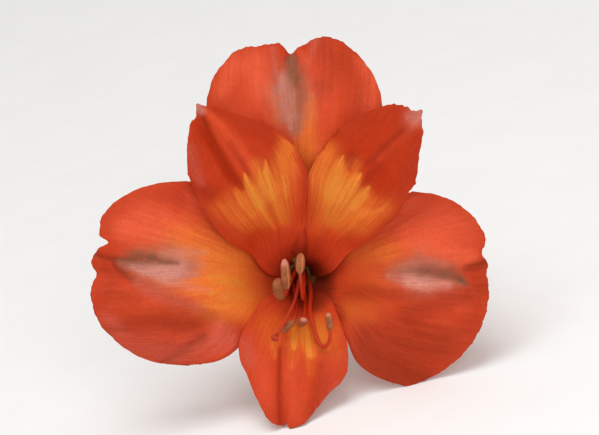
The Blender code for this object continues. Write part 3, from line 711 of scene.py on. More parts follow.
def emboss(points, tepal, p, s, t):
    """Raise the veins, the crumple and the creases out of the sheet."""
    x, y = points[:, 0], points[:, 1]
    blade = smoothstep(BLADE_FROM, BLADE_TO, p)
    veins = VEIN_HEIGHT * np.cos(math.tau * VEINS_PER_SIDE * t + vein_wander(s, t)) * blade
    crumpled = ripple(x + CRUMPLE_SKEW[0] * y, CRUMPLE_ACROSS, (1.0, 2.0))
    crumpled *= ripple(y - CRUMPLE_SKEW[1] * x, CRUMPLE_ALONG, (0.5, 3.0))
    points[:, 2] += veins * (1 - np.abs(t) ** MARGIN_POWER) + CRUMPLE * crumpled * blade
    for high, *stops in tepal.creases:
        points[:, 2] += high * stroke_strength(x, y, stops)


print("veins stand", VEIN_HEIGHT, "mm high, and the crumple swings by about", CRUMPLE, "mm")

# %% What the material reads from each vertex
# The throat's painted shade in its pit and painted light on its walls are each full within the first
# distance from their centre, and gone at the second.
THROAT_SHADE_CENTRE, THROAT_SHADE_TO, THROAT_SHADE_END = (2.2, -2.4), 3.0, 7.2
THROAT_LIGHT_CENTRE, THROAT_LIGHT_TO, THROAT_LIGHT_END = (0.6, 1.2), 5.5, 15.0
# The midrib's width at the axis, and what it gains in each millimetre outwards.
MIDRIB_WIDTH, MIDRIB_SPREAD = 0.5, 0.04
# The rim's darker paint, a painted shade where the margins curl back, starts at this share of the way
# from the middle to the edge.
MARGIN_SHADE_FROM = 0.55


def fading(x, y, centre, low, high):
    """1 round a centre, fading to 0 between two distances from it."""
    return 1 - smoothstep(low, high, np.hypot(x - centre[0], y - centre[1]))


def keep_marks(mesh, points, tepal, p, q, s, t):
    """Store on the vertices the strokes, the throat's painted shade and light, the midrib, the reach and
    the rim.
    """
    x, y = points[:, 0], points[:, 1]
    for kind in KINDS:
        bare = np.ones_like(x)
        for strength, *stops in tepal.strokes.get(kind, []):
            bare *= 1 - strength * stroke_strength(x, y, stops)
        keep(mesh, kind, 1 - bare)
    # The throat gets a dark brown painted shade in its pit, and a brighter red painted light on its walls.
    keep(mesh, "throat", fading(x, y, THROAT_SHADE_CENTRE, THROAT_SHADE_TO, THROAT_SHADE_END))
    keep(mesh, "flush", fading(x, y, THROAT_LIGHT_CENTRE, THROAT_LIGHT_TO, THROAT_LIGHT_END))
    keep(mesh, "midrib", np.exp(-((q / (MIDRIB_WIDTH + MIDRIB_SPREAD * p)) ** 2)))
    keep(mesh, "reach", p / tepal.tip)
    # The rim is painted darker towards the margins and end: painted shade where they curl back.
    edge = smoothstep(MARGIN_SHADE_FROM, 1.0, np.hypot(t**2, s**3))
    keep(mesh, "rim", edge * smoothstep(BLADE_FROM, BLADE_TO, p))


print("the throat is darkest within", THROAT_SHADE_TO, "mm of", THROAT_SHADE_CENTRE)

# %% One petal
PETAL_COLUMNS, PETAL_ROWS = 120, 150
# Columns crowd a little towards the edges.
COLUMN_CROWDING = 0.2
PETAL_THICKNESS = 0.36
LOWEST = 0.02


def add_petal(name, tepal, materials):
    """A finished petal that stands for a tepal's node, with no point below LOWEST over the floor."""
    deselect()
    bpy.ops.mesh.primitive_grid_add(x_subdivisions=PETAL_COLUMNS, y_subdivisions=PETAL_ROWS, size=2)
    piece = bpy.context.object
    piece.name = piece.data.name = name + "_petal"
    flat = read_points(piece.data)
    even, s = -flat[:, 0], (flat[:, 1] + 1) / 2
    t = even * (1 + COLUMN_CROWDING * (1 - even * even))
    points, p, q = tepal.surface(s, t)
    fray(points, tepal, p, q, s, t)
    emboss(points, tepal, p, s, t)
    write_points(piece.data, to_world(points))
    keep_marks(piece.data, points, tepal, p, q, s, t)
    for material in materials:
        piece.data.materials.append(material)
    piece.data.shade_smooth()
    sheet = piece.modifiers.new("thickness", "SOLIDIFY")
    sheet.thickness = PETAL_THICKNESS * MM
    sheet.offset = 0.0
    sheet.material_offset = 1
    apply_modifiers(piece)
    place = read_points(piece.data)
    place[:, 2] = np.maximum(place[:, 2], LOWEST * MM)
    write_points(piece.data, place)
    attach(piece, "root")
    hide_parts(name)
    return piece


# %% [markdown]
# ## The petals' finish
#
# A petal is a thin skin of tiny domed cells over spongy tissue. It has only a faint gloss, lets a little
# light spread under the skin, and its colour runs in streaks along the veins. The material lays the
# kinds of strokes over the base colour, one paint at a time. Some of these paints are painted light and
# painted shade: the bright and dark strokes, in part the patch's two sides, the darker rim, a brighter
# red on the throat's walls and a dark brown in its pit. Each kind's strength is first multiplied by a
# noise. Where the noise is stretched from claw to tip, it pulls the strokes' ends out into flames, and
# where it is even, it mottles them. An image could be painted instead, but a noise stays sharp at any
# distance and needs no picture.


# %% Helpers for materials
def colour(code):
    """A screen colour such as "c24020" as the linear colour that a shader uses."""
    screen = np.array([int(code[i:i + 2], 16) / 255 for i in (0, 2, 4)])
    linear = np.where(screen <= 0.04045, screen / 12.92, ((screen + 0.055) / 1.055) ** 2.4)
    return (*linear, 1.0)


def new_material(name):
    """A new material, its node tree and its shader."""
    material = bpy.data.materials.new(name)
    material.use_nodes = True
    return material, material.node_tree, material.node_tree.nodes["Principled BSDF"]


def feed(made, inputs):
    """Set a node's inputs to plain values, or link them to other nodes."""
    for name, value in dict(inputs).items():
        if isinstance(value, bpy.types.NodeSocket):
            made.id_data.links.new(value, made.inputs[name])
        else:
            made.inputs[name].default_value = value


def node(tree, kind, inputs=(), **settings):
    """A new node with its settings made and its inputs fed."""
    made = tree.nodes.new(kind)
    for name, value in settings.items():
        setattr(made, name, value)
    feed(made, inputs)
    return made


def coordinates(tree, kind="Object"):
    return node(tree, "ShaderNodeTexCoord").outputs[kind]


def attribute(tree, name):
    return node(tree, "ShaderNodeAttribute", attribute_name=name).outputs["Fac"]


def maths(tree, operation, a, b):
    return node(tree, "ShaderNodeMath", {0: a, 1: b}, operation=operation).outputs[0]


def mix(tree, share, a, b, blend="MIX"):
    """Paint b laid over paint a, as thickly as share says."""
    inputs = {0: share, 6: a, 7: b}
    return node(tree, "ShaderNodeMix", inputs, data_type="RGBA", blend_type=blend).outputs[2]


def remap(tree, value, low, high, to_low=0.0, to_high=1.0, smooth=True):
    """A value that runs from low to high, made to run from to_low to to_high and held there outside."""
    inputs = {"Value": value, "From Min": low, "From Max": high, "To Min": to_low, "To Max": to_high}
    kind = "SMOOTHSTEP" if smooth else "LINEAR"
    return node(tree, "ShaderNodeMapRange", inputs, interpolation_type=kind).outputs[0]


def noise(tree, place, fineness, detail=3, roughness=0.55):
    """A noise whose grain is finer for a larger fineness: one number, or one for each axis of place."""
    stretch = fineness if isinstance(fineness, tuple) else (fineness,) * 3
    mapped = node(tree, "ShaderNodeMapping", {"Vector": place, "Scale": stretch}).outputs[0]
    inputs = {"Vector": mapped, "Scale": 1.0, "Detail": detail, "Roughness": roughness}
    return node(tree, "ShaderNodeTexNoise", inputs).outputs["Fac"]


def bumped(tree, height, strength, depth):
    """The surface roughened by a height pattern, depth millimetres deep."""
    inputs = {"Height": height, "Strength": strength, "Distance": depth * MM}
    return node(tree, "ShaderNodeBump", inputs).outputs[0]


print("salmon is", [round(float(c), 2) for c in colour("cc4522")[:3]], "in linear light")

# %% Paints, and the order in which they are laid
# The flush paint is a brighter red, painted light on the throat's walls; the throat paint is painted shade
# in its pit.
PAINTS = {
    "orange": "e0702a", "gold": "e48c34", "blush": "c8604e", "patch": "b06a54",
    "olive": "86523a", "pale": "d89484", "flush": "f25c32", "throat": "6c1e0c",
}
# In each set, bright is the paint of painted light, dark of painted shade, and rim of painted shade on the
# curled margins.
SALMON = PAINTS | {
    "base": "cc4522", "bright": "de5a38", "dark": "9e3216", "rim": "b83a1c", "orange": "ea7a32",
}
SCARLET = PAINTS | {"base": "b7330f", "bright": "d84e28", "dark": "9a2810", "rim": "b03416"}
CORAL = PAINTS | {"base": "c84320", "bright": "d44c2a", "dark": "9c2c14", "rim": "bc3e20"}

# A kind of stroke, its paint, the noise that breaks it up and by how much, where it starts and is full.
# The bright layer is painted light and the dark layer painted shade.
# The patch's greenish-brown and pale layers are partly painted shade and painted light.
LAYERS = [
    ("bright", "bright", "streaks", 0.3, 0.0, 1.2),
    ("orange", "orange", "streaks", 0.4, 0.0, 0.9),
    ("dark", "dark", "streaks", 0.25, 0.0, 1.0),
    ("gold", "orange", "flames", 0.6, 0.0, 1.1),
    ("gold", "gold", "flames", 0.5, 0.1, 1.3),
    ("blush", "blush", "fine", 0.3, 0.0, 1.0),
    ("patch", "patch", "mottle", 0.3, 0.0, 0.95),
    ("pale", "pale", "feathers", 0.35, 0.0, 1.15),
    ("olive", "olive", "mottle", 0.3, 0.0, 1.1),
]
PETAL_SKIN = {
    "Specular IOR Level": 0.08, "Subsurface Weight": 0.22,
    "Subsurface Radius": (1.0, 0.3, 0.12), "Subsurface Scale": 0.9 * MM,
}
print(len(LAYERS), "layers of paint")


# %% The face of a petal
def streaked(tree, kind, noise_value, spread, low, high):
    """A marking's strength, raised and lowered by a noise so that it breaks up."""
    swing = remap(tree, noise_value, 0.3, 0.7, 1.0 - spread, 1.0 + spread, smooth=False)
    return remap(tree, maths(tree, "MULTIPLY", attribute(tree, kind), swing), low, high)


def petal_face(name, paints):
    """The base colour, the rim and the strokes' paints over it, the throat's painted light and shade, then
    a fine grain.
    """
    material, tree, shader = new_material(name)
    along_veins, in_space = coordinates(tree, "UV"), coordinates(tree)
    streaks = noise(tree, along_veins, (44, 2.4, 1))
    flames = noise(tree, along_veins, (46, 3, 1), detail=2)
    fine = noise(tree, along_veins, (120, 9, 1), detail=2)
    clouds = noise(tree, in_space, 160, detail=2)
    mottle = noise(tree, in_space, 620, detail=4, roughness=0.65)
    cells = noise(tree, in_space, 5200, detail=1)
    feathers = maths(tree, "ADD", maths(tree, "MULTIPLY", mottle, 0.5), maths(tree, "MULTIPLY", fine, 0.5))
    speckle = noise(tree, in_space, 1500)
    noises = {"streaks": streaks, "flames": flames, "fine": fine, "mottle": mottle, "feathers": feathers}

    cloudy = remap(tree, clouds, 0.35, 0.68, 0.0, 0.25)
    tint = mix(tree, cloudy, colour(paints["base"]), colour(paints["bright"]))
    # Darker paint along the margins and end, as painted shade where they curl back.
    rim = remap(tree, attribute(tree, "rim"), 0.0, 1.0, 0.0, 0.6)
    tint = mix(tree, rim, tint, colour(paints["rim"]))
    for kind, paint, noise_name, spread, low, high in LAYERS:
        share = streaked(tree, kind, noises[noise_name], spread, low, high)
        tint = mix(tree, share, tint, colour(paints[paint]))
    # A brighter red painted light on the throat's walls, then a dark brown painted shade in its pit.
    throat_light_share = maths(tree, "MULTIPLY", streaked(tree, "flush", flames, 0.5, 0.1, 1.1), 0.8)
    tint = mix(tree, throat_light_share, tint, colour(paints["flush"]))
    deep = remap(tree, attribute(tree, "throat"), 0.0, 1.0, 0.0, 0.65)
    tint = mix(tree, deep, tint, colour(paints["throat"]))
    shade = remap(tree, fine, 0.25, 0.75, 0.92, 1.04, smooth=False)
    shade = maths(tree, "MULTIPLY", shade, remap(tree, speckle, 0.3, 0.7, 0.92, 1.05, smooth=False))
    grey = node(tree, "ShaderNodeCombineColor", {0: shade, 1: shade, 2: shade}).outputs[0]
    relief = maths(tree, "ADD", maths(tree, "MULTIPLY", fine, 0.8), maths(tree, "MULTIPLY", cells, 0.25))
    feed(shader, PETAL_SKIN | {
        "Base Color": mix(tree, 1.0, tint, grey, "MULTIPLY"),
        "Roughness": remap(tree, streaks, 0.3, 0.7, 0.46, 0.62),
        "Normal": bumped(tree, relief, 0.35, 0.12),
    })
    print(name, "has", len(tree.nodes), "nodes")
    return material


# %% The back of a petal
def petal_back(name, base, light):
    """Paler than the face, with a midrib that is greenest at the tip and the claw."""
    material, tree, shader = new_material(name)
    along_veins = coordinates(tree, "UV")
    streaks = noise(tree, along_veins, (50, 2, 1))
    fine = noise(tree, along_veins, (130, 8, 1), detail=2)
    tint = mix(tree, remap(tree, streaks, 0.35, 0.65), colour(base), colour(light))
    reach = attribute(tree, "reach")
    green_tip = remap(tree, reach, 0.72, 1.0, 0.0, 0.75)
    green_foot = remap(tree, reach, 0.10, 0.45, 0.85, 0.0)
    green = maths(tree, "ADD", maths(tree, "ADD", green_tip, green_foot), 0.3)
    green = maths(tree, "MULTIPLY", attribute(tree, "midrib"), green)
    shifted = maths(tree, "MULTIPLY", maths(tree, "SUBTRACT", fine, 0.5), 0.5)
    tint = mix(tree, remap(tree, maths(tree, "ADD", green, shifted), 0.15, 0.95), tint, colour("7d8a3e"))
    tint = mix(tree, remap(tree, reach, 0.06, 0.3, 0.6, 0.0), tint, colour("8a8a45"))
    feed(shader, PETAL_SKIN | {
        "Base Color": tint,
        "Roughness": remap(tree, fine, 0.3, 0.7, 0.48, 0.66),
        "Normal": bumped(tree, streaks, 0.4, 0.2),
    })
    return material


# %% Make the six petals
outer_back = petal_back("outer_petal_back", "c65a3c", "d97a5a")
inner_back = petal_back("inner_petal_back", "bf4a2c", "cf6646")
petal_materials = {
    "outer_tepal": [petal_face("outer_petal_face", SALMON), outer_back],
    "inner_tepal": [petal_face("inner_petal_face", SCARLET), inner_back],
    "bottom_tepal": [petal_face("bottom_petal_face", CORAL), inner_back],
}
for name, tepal in TEPALS.items():
    petal = add_petal(name, tepal, petal_materials[tepal.slot])
    print(petal.name, count_triangles(petal), "triangles")


# %% [markdown]
# ## Stamens and style
#
# A filament is a smooth tapering thread. A circle could be extruded along it step by step, but a curve
# with a round bevel keeps it round through every bend, and is then made a mesh. The anther on its tip is
# a pair of pollen sacs: a ball stretched long, with a furrow between the sacs, a slit along each, and a
# rough dusting of pollen grains.

# %% A tapering thread along a route
ROUTE_STEPS = 8
MERGE_WITHIN = 0.002


def smooth_route(points):
    """Points read from the smooth curve through the route's own points."""
    route = [Vector(p) for p in points]
    ends = [2 * route[0] - route[1], *route, 2 * route[-1] - route[-2]]
    read = []
    for a, b, c, d in zip(ends, ends[1:], ends[2:], ends[3:]):
        for n in range(ROUTE_STEPS):
            u = n / ROUTE_STEPS
            bend = (2 * a - 5 * b + 4 * c - d) * u**2 + (3 * b - a - 3 * c + d) * u**3
            read.append(b + 0.5 * ((c - a) * u + bend))
    return read + [route[-1]]


def add_thread(name, route, radii, material, resolution=5):
    """A round thread along points in the flower's axes, whose radius at each point is given."""
    deselect()
    bpy.ops.curve.primitive_nurbs_path_add()
    piece = bpy.context.object
    piece.name = name
    line = piece.data
    line.dimensions = "3D"
    line.splines.clear()
    spline = line.splines.new("POLY")
    spline.points.add(len(route) - 1)
    for n, place in enumerate(to_world(route)):
        spline.points[n].co = (*place, 1.0)
        spline.points[n].radius = radii[n]
    line.bevel_depth = MM
    line.bevel_resolution = resolution
    line.use_fill_caps = True
    bpy.ops.object.convert(target="MESH")
    piece = bpy.context.object
    bpy.ops.object.mode_set(mode="EDIT")
    bpy.ops.mesh.select_all(action="SELECT")
    bpy.ops.mesh.remove_doubles(threshold=MERGE_WITHIN * MM)
    bpy.ops.mesh.normals_make_consistent(inside=False)
    bpy.ops.object.mode_set(mode="OBJECT")
    world_route = to_world(route)
    places = read_points(piece.data)
    gaps = np.linalg.norm(places[:, None, :] - world_route[None, :, :], axis=2)
    keep(piece.data, "reach", gaps.argmin(axis=1) / (len(route) - 1))
    piece.data.name = name
    piece.data.materials.clear()
    piece.data.materials.append(material)
    piece.data.shade_smooth()
    return piece


# %% Thread and anther finishes
def thread_finish(name, foot, tip):
    """A smooth, faintly glossy thread, dark near its foot, whose colour changes again at its tip."""
    material, tree, shader = new_material(name)
    blotches = noise(tree, coordinates(tree), 900, detail=2)
    shifted = maths(tree, "MULTIPLY", maths(tree, "SUBTRACT", blotches, 0.5), 0.3)
    reach = attribute(tree, "reach")
    tint = mix(tree, remap(tree, maths(tree, "ADD", reach, shifted), 0.88, 1.02), colour(foot), colour(tip))
    tint = mix(tree, remap(tree, reach, 0.15, 0.45, 0.75, 0.0), tint, colour("5c1a0c"))
    feed(shader, {
        "Base Color": tint,
        "Roughness": remap(tree, blotches, 0.3, 0.7, 0.3, 0.45),
        "Normal": bumped(tree, blotches, 0.2, 0.1),
        "Specular IOR Level": 0.2, "Subsurface Weight": 0.2,
        "Subsurface Radius": (1.0, 0.3, 0.15), "Subsurface Scale": 0.5 * MM,
    })
    return material


def anther_finish():
    """Matt pinkish-brown pollen sacs with a paler seam and tip, dusted with lighter grains."""
    material, tree, shader = new_material("anther_pollen")
    grains = noise(tree, coordinates(tree), 4200, detail=2)
    patches = noise(tree, coordinates(tree), 700, detail=2)
    tint = mix(tree, remap(tree, patches, 0.35, 0.65), colour("884a2a"), colour("a45c38"))
    tint = mix(tree, remap(tree, attribute(tree, "seam"), 0.2, 0.9, 0.0, 0.9), tint, colour("cc7c52"))
    tint = mix(tree, remap(tree, attribute(tree, "tip"), 0.2, 0.9, 0.0, 0.85), tint, colour("d48a78"))
    tint = mix(tree, remap(tree, grains, 0.45, 0.7, 0.0, 0.45), tint, colour("cc8452"))
    feed(shader, {
        "Base Color": tint, "Normal": bumped(tree, grains, 0.8, 0.12),
        "Roughness": 0.85, "Specular IOR Level": 0.2,
    })
    return material


filament_red = thread_finish("filament_red", "ba3414", "a8563c")
style_red = thread_finish("style_red", "bc402a", "b4381c")
pollen = anther_finish()
print("finishes:", filament_red.name, style_red.name, pollen.name)

# %% One anther
# The filament's end is sunk this far into its anther.
ANTHER_SUNK = 0.6
ANTHER_SIDES, ANTHER_RINGS = 56, 40
# How blunt the ends are, how far the anther bows, and how far its sides follow the furrow.
BLUNT_POWER, BOW, SAC_SWELL = 0.8, 0.12, 0.1
# Depths, widths and places are shares of the anther's own size.
FURROW, FURROW_WIDTH = 0.18, 0.13
SLIT, SLIT_WIDTH, SLIT_AT = 0.10, 0.05, 0.27
GRAIN, GRAIN_LONG, GRAIN_WIDE = 0.02, 0.061, 0.053
SEAM_AT, SEAM_WIDTH, SEAM_FROM, SEAM_TO = 0.2, 0.08, -0.5, -0.4
PINK_FROM, PINK_TO = 0.12, 0.42


def add_anther(name, stamen, material):
    """A ball whose x runs across both sacs, y through them and z along them, each from -0.5 to 0.5."""
    deselect()
    bpy.ops.mesh.primitive_uv_sphere_add(segments=ANTHER_SIDES, ring_count=ANTHER_RINGS, radius=0.5)
    piece = bpy.context.object
    piece.name = piece.data.name = name
    x, y, z = read_points(piece.data).T
    blunt = np.sign(z) * 0.5 * (2 * np.abs(z)) ** BLUNT_POWER
    furrow = 1 - FURROW * np.exp(-((x / FURROW_WIDTH) ** 2))
    slit = sum(np.exp(-(((x - side * SLIT_AT) / SLIT_WIDTH) ** 2)) for side in (-1, 1))
    body = furrow - SLIT * slit
    rough = 1 + GRAIN * np.sin(math.tau * z / GRAIN_LONG) * np.sin(math.tau * x / GRAIN_WIDE + 1)
    wide, deep, long = stamen.anther_size
    across_sacs = wide * x * rough * (1 - SAC_SWELL + SAC_SWELL * body)
    through_sacs = deep * y * body * rough - BOW * wide * np.cos(math.pi * z)
    shaped = np.column_stack((across_sacs, through_sacs, long * blunt))
    up = Vector(stamen.anther_along).normalized()
    across = up.cross(Vector(stamen.anther_facing)).normalized()
    turn = Matrix((across, up.cross(across), up)).transposed()
    centre = Vector(stamen.route[-1]) + up * (long / 2 - ANTHER_SUNK)
    write_points(piece.data, to_world(shaped @ np.array(turn).T + np.array(centre)))
    seam = np.exp(-(((x - SEAM_AT) / SEAM_WIDTH) ** 2)) * smoothstep(SEAM_FROM, SEAM_TO, z)
    keep(piece.data, "seam", stamen.stripe * seam)
    keep(piece.data, "tip", stamen.pink * smoothstep(PINK_FROM, PINK_TO, z))
    piece.data.materials.append(material)
    piece.data.shade_smooth()
    return piece


# %% Where the six stamens go
@dataclass
class Stamen:
    """A filament's foot and route, and how its anther points, faces and is sized."""

    foot_angle: float
    route: list
    anther_along: tuple
    anther_facing: tuple
    anther_size: tuple
    stripe: float
    pink: float


STAMENS = [
    Stamen(
        foot_angle=120,
        route=[(-1, 0.2, 12), (-2, -1.9, 18.5), (-2.6, -3.8, 23.6), (-2.5, -2.3, 26.2)],
        anther_along=(-0.075, 0.95, 0.3), anther_facing=(0.2, -0.3, 1), anther_size=(2, 1.6, 6.6),
        stripe=1, pink=1,
    ),
    Stamen(
        foot_angle=180,
        route=[(-1.9, -0.7, 12), (-3.1, -2.8, 17.5), (-3.75, -4.7, 21.5), (-3.6, -4.5, 23.2)],
        anther_along=(-0.15, 0.9, 0.35), anther_facing=(-0.1, -0.3, 1), anther_size=(2.8, 1.6, 5),
        stripe=0, pink=0,
    ),
    Stamen(
        foot_angle=60,
        route=[(0.9, 0.1, 12), (0.95, -2.4, 18), (0.8, -4.7, 23.4), (0.45, -2.2, 26.2), (0.15, 1, 28.2)],
        anther_along=(0.06, 0.97, 0.25), anther_facing=(0.1, -0.2, 1), anther_size=(1.9, 1.5, 4.3),
        stripe=1, pink=0.3,
    ),
    Stamen(
        foot_angle=240,
        route=[(-1, -2.4, 12), (-0.6, -4.6, 18), (-0.6, -7.4, 24), (-1.2, -9.2, 27.6)],
        anther_along=(-0.73, -0.7, 0.2), anther_facing=(0.1, 0.4, 1), anther_size=(1.4, 1.3, 3.8),
        stripe=0, pink=0,
    ),
    Stamen(
        foot_angle=300,
        route=[(0.7, -2.5, 12), (1.2, -4.6, 18), (1.2, -7.4, 24.4), (0.3, -9.9, 28.6)],
        anther_along=(0.2, 0.33, 0.92), anther_facing=(0.2, 1, -0.2), anther_size=(1.7, 1.4, 4.6),
        stripe=0, pink=1,
    ),
    Stamen(
        foot_angle=0,
        route=[(1.9, -0.9, 12), (2.4, -3.4, 18.5), (2.2, -7, 25.5), (2.9, -10, 28.6), (3.7, -12.7, 30.4),
               (4.7, -14, 31.4), (5.7, -13.6, 32.1), (6.2, -12, 32.4), (6.2, -10.3, 32.6)],
        anther_along=(-0.13, 0.98, 0.15), anther_facing=(0.1, -0.1, 1), anther_size=(1.5, 1.4, 3.7),
        stripe=0.6, pink=0.7,
    ),
]

# %% Make the stamens
FILAMENT_RING = 1.35
FILAMENT_RADIUS, FILAMENT_TIP_RADIUS = 0.48, 0.32
FILAMENT_STRAIGHT = 5.0
FOOT_RING_RADIUS = 0.48

for n, stamen in enumerate(STAMENS, start=1):
    foot = Matrix.Rotation(math.radians(stamen.foot_angle), 3, "Z") @ Vector((FILAMENT_RING, 0, 0))
    foot.z = SEAT_GAP + FOOT_RING_RADIUS
    route = smooth_route([foot, foot + Vector((0, 0, FILAMENT_STRAIGHT)), *stamen.route])
    radii = np.linspace(FILAMENT_RADIUS, FILAMENT_TIP_RADIUS, len(route))
    thread = add_thread(f"filament_{n}", route, radii, filament_red)
    anther = add_anther(f"anther_{n}", stamen, pollen)
    for piece in (thread, anther):
        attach(piece, "root")
        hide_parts("stamens")
print(len(STAMENS), "stamens")

# %% The ring that the filaments grow from
deselect()
bpy.ops.mesh.primitive_torus_add(
    major_segments=72, major_radius=FILAMENT_RING * MM,
    minor_segments=16, minor_radius=FOOT_RING_RADIUS * MM,
)
foot_ring = bpy.context.object
foot_ring.name = foot_ring.data.name = "filament_foot_ring"
ring_points = read_points(foot_ring.data) / MM + np.array((0, 0, SEAT_GAP + FOOT_RING_RADIUS))
write_points(foot_ring.data, to_world(ring_points))
keep(foot_ring.data, "reach", np.zeros(len(ring_points)))
foot_ring.data.materials.append(filament_red)
foot_ring.data.shade_smooth()
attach(foot_ring, "root")
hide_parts("stamens")
print("foot ring", count_triangles(foot_ring), "triangles")

# %% The style and its stigma
STYLE_RADIUS, STYLE_TAPER = 0.42, 0.8
STIGMA_ARMS, STIGMA_LENGTH, STIGMA_SPREAD = 3, 1.2, math.radians(30)
STIGMA_STEPS, STIGMA_SUNK = 8, 0.4
STIGMA_RADIUS, STIGMA_THINNING = 0.46, 0.12
STYLE_ROUTE = [
    (0, 0, SEAT_GAP), (0, -0.2, 6), (-0.1, -1.2, 12), (-0.4, -3.3, 18),
    (-1.2, -5.9, 23.6), (-3.1, -9.6, 29.2), (-4.7, -12.2, 32),
]

route = smooth_route(STYLE_ROUTE)
radii = np.linspace(STYLE_RADIUS, STYLE_TAPER * STYLE_RADIUS, len(route))
style_pieces = [add_thread("style_rod", route, radii, style_red)]
heading = (route[-1] - route[-2]).normalized()
onward = heading.to_track_quat("Z", "Y").to_matrix()
arm_radii = STIGMA_RADIUS - STIGMA_THINNING * np.linspace(0, 1, STIGMA_STEPS + 1) ** 2
for n in range(STIGMA_ARMS):
    lean = onward @ Matrix.Rotation(math.tau * n / STIGMA_ARMS, 3, "Z")
    arm_route = []
    for step in range(STIGMA_STEPS + 1):
        share = step / STIGMA_STEPS
        spread = STIGMA_SPREAD * (0.5 + 0.5 * share)
        out = Vector((0, -math.sin(spread), math.cos(spread))) * STIGMA_LENGTH * share
        arm_route.append(route[-1] - heading * STIGMA_SUNK + lean @ out)
    style_pieces.append(add_thread(f"stigma_arm_{n + 1}", arm_route, arm_radii, style_red))
for piece in style_pieces:
    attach(piece, "root")
    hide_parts("style")
print(len(style_pieces), "pieces in the style")

# %% [markdown]
# ## Ovary and stem
#
# The ovary is a small green barrel with six ribs, and the stem is a thin fleshy rod. A circle is drawn up
# through the barrel's profile, ring by ring. The ribs are pressed in afterwards, which is easier than to
# draw them in each ring. The stem is one more tapering thread. Both have a waxy green skin with faint
# stripes along them, and the stem's cut end shows paler flesh.


# %% Green skin
def green_skin(name, base, light, flush):
    """A waxy stalk's skin, mixed with a brownish painted shade where the attribute "inside" is set."""
    material, tree, shader = new_material(name)
    stripes = noise(tree, coordinates(tree), (900, 120, 900))
    mottle = noise(tree, coordinates(tree), 220)
    tint = mix(tree, remap(tree, stripes, 0.35, 0.65), colour(base), colour(light))
    tint = mix(tree, remap(tree, mottle, 0.5, 0.75, 0.0, 0.35), tint, colour(flush))
    feed(shader, {
        "Base Color": mix(tree, attribute(tree, "inside"), tint, colour("6e5212")),
        "Roughness": remap(tree, mottle, 0.3, 0.7, 0.36, 0.52),
        "Normal": bumped(tree, stripes, 0.35, 0.15),
        "Specular IOR Level": 0.25, "Subsurface Weight": 0.12,
        "Subsurface Radius": (0.6, 1.0, 0.3), "Subsurface Scale": 0.8 * MM,
    })
    return material


# %% The ovary
OVARY_LENGTH = 9.0
OVARY_PROFILE = [(-1.0, 1.5), (-0.89, 2.3), (-0.67, 3.6), (-0.39, 4.35), (-0.13, 4.4), (0.0, 4.3)]
OVARY_SIDES, OVARY_RINGS = 96, 30
OVARY_RIBS, OVARY_RIB_SHARE = 6, 0.09
# The ovary's top, which is seen down the throat, turns brownish between these heights: a darker paint
# that is painted shade for its place deep in the throat.
OVARY_SHADE_FROM, OVARY_SHADE_TO = -0.6, -0.1

shares = np.linspace(-1.0, 0.0, OVARY_RINGS + 1)
deselect()
bpy.ops.mesh.primitive_circle_add(vertices=OVARY_SIDES, radius=OVARY_PROFILE[0][1], fill_type="NGON")
ovary = bpy.context.object
ovary.name = ovary.data.name = "ovary_barrel"
bpy.ops.object.mode_set(mode="EDIT")
bpy.ops.mesh.select_all(action="SELECT")
bpy.ops.transform.translate(value=(0, 0, -OVARY_LENGTH))
for low, high in zip(shares, shares[1:]):
    bpy.ops.mesh.extrude_region_move(TRANSFORM_OT_translate={"value": (0, 0, OVARY_LENGTH * (high - low))})
    grown = float(along(OVARY_PROFILE, high) / along(OVARY_PROFILE, low))
    bpy.ops.transform.resize(value=(grown, grown, 1))
bpy.ops.mesh.select_all(action="SELECT")
bpy.ops.mesh.normals_make_consistent(inside=False)
bpy.ops.object.mode_set(mode="OBJECT")
x, y, z = read_points(ovary.data).T
rib = OVARY_RIB_SHARE * np.sin(-math.pi * z / OVARY_LENGTH)
ribbed = 1 + rib * np.cos(OVARY_RIBS * np.arctan2(y, x))
write_points(ovary.data, to_world(np.column_stack((x * ribbed, y * ribbed, z))))
keep(ovary.data, "inside", smoothstep(OVARY_SHADE_FROM, OVARY_SHADE_TO, z))
ovary.data.materials.append(green_skin("ovary_skin", "5f7f35", "7d9a4a", "8a5a3c"))
ovary.data.shade_smooth()
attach(ovary, "root")
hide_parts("ovary")
print("ovary", count_triangles(ovary), "triangles")

# %% The stem
STEM_LENGTH = 68.0
STEM_RADIUS, STEM_CUT_RADIUS = 1.35, 1.55
STEM_LIFT, STEM_SWAY = 11.0, 3.0
STEM_POINTS = 121
# The stem starts this far inside the ovary.
STEM_SUNK = 0.4
# Slight swellings, as (share of the radius, how often).
STEM_SWELLINGS = [(0.02, 23), (0.012, 61)]
# Faces that look along the stem at least this much are its cut end.
CUT_FACING = 0.9

up = Vector((-math.sin(ROLL), math.cos(ROLL), 0.0))
side = Vector((math.cos(ROLL), math.sin(ROLL), 0.0))
start = Vector((0.0, 0.0, -OVARY_LENGTH - SEAT_GAP))
route = [Vector((0.0, 0.0, STEM_SUNK - OVARY_LENGTH))]
shares = np.linspace(0.0, 1.0, STEM_POINTS)
for share in shares:
    bent = up * STEM_LIFT * share**2 + side * STEM_SWAY * share * math.sin(math.pi * share)
    route.append(start + Vector((0.0, 0.0, -STEM_LENGTH * share)) + bent)
uneven = 1.0
for high, often in STEM_SWELLINGS:
    uneven = uneven + high * np.sin(often * shares)
radii = (STEM_RADIUS + (STEM_CUT_RADIUS - STEM_RADIUS) * shares) * uneven
radii = np.minimum(np.append(radii[0], radii), STEM_CUT_RADIUS)
stem_skin = green_skin("stem_skin", "55752e", "6f9040", "7a5a3a")
stem = add_thread("stem_rod", route, radii, stem_skin, resolution=7)
stem.data.materials.append(green_skin("stem_cut", "a9b578", "c4c892", "9a8a58"))
world_route = to_world(route)
cut_heading = world_route[-1] - world_route[-2]
cut_heading /= np.linalg.norm(cut_heading)
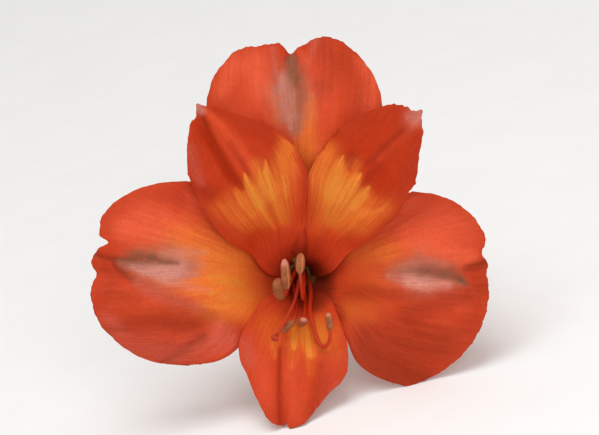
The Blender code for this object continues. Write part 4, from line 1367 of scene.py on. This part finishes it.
for face in stem.data.polygons:
    if np.dot(face.normal, cut_heading) > CUT_FACING:
        face.material_index = 1
        face.use_smooth = False
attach(stem, "root")
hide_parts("stem")
print("stem", count_triangles(stem), "triangles")

# %% [markdown]
# ## Floor and light
#
# The bloom is shown as in a simple studio: a pale sheet of paper, a big soft light from above and a
# little to the left, a second one beside the camera that reaches into the throat, and an even white
# surround that fills the shadows. One bare lamp would be simpler, but its hard shadows would hide the
# markings. The sizes and distances here are in metres.

# %% Floor
FLOOR_SIZE = 8.0

deselect()
bpy.ops.mesh.primitive_plane_add(size=FLOOR_SIZE)
floor = bpy.context.object
floor.name = floor.data.name = "floor"
paper, paper_tree, paper_shader = new_material("floor_paper")
fibre = noise(paper_tree, coordinates(paper_tree), 60, detail=4)
paper_tint = mix(paper_tree, remap(paper_tree, fibre, 0.3, 0.7), colour("f9f8f6"), colour("fbfaf8"))
feed(paper_shader, {"Base Color": paper_tint, "Roughness": 0.8, "Specular IOR Level": 0.1})
floor.data.materials.append(paper)
print("floor", FLOOR_SIZE, "m wide")

# %% Lights
SURROUND_STRENGTH = 0.53


def add_light(name, towards, distance, size, power):
    """A square light that shines on the bloom from a direction in the flower's axes."""
    panel = bpy.data.lights.new(name, "AREA")
    panel.size = size
    panel.energy = power
    placed = bpy.data.objects.new(name, panel)
    bpy.context.scene.collection.objects.link(placed)
    offset = LAID.to_3x3() @ Vector(towards).normalized() * distance
    placed.location = LAID @ (VIEW_CENTRE * MM) + offset
    placed.rotation_euler = offset.to_track_quat("Z", "Y").to_euler()
    placed.visible_camera = False
    print(name, "light at", [round(c, 2) for c in placed.location])


add_light("key", (-0.45, 1.15, 0.9), distance=0.9, size=0.7, power=4.2)
add_light("fill", (0.1, 0.15, 1.0), distance=1.1, size=0.4, power=3.0)

world = bpy.data.worlds.new("surround")
bpy.context.scene.world = world
world.use_nodes = True
feed(world.node_tree.nodes["Background"], {"Color": (1.0, 1.0, 1.0, 1.0), "Strength": SURROUND_STRENGTH})
bpy.context.scene.view_settings.view_transform = "Standard"
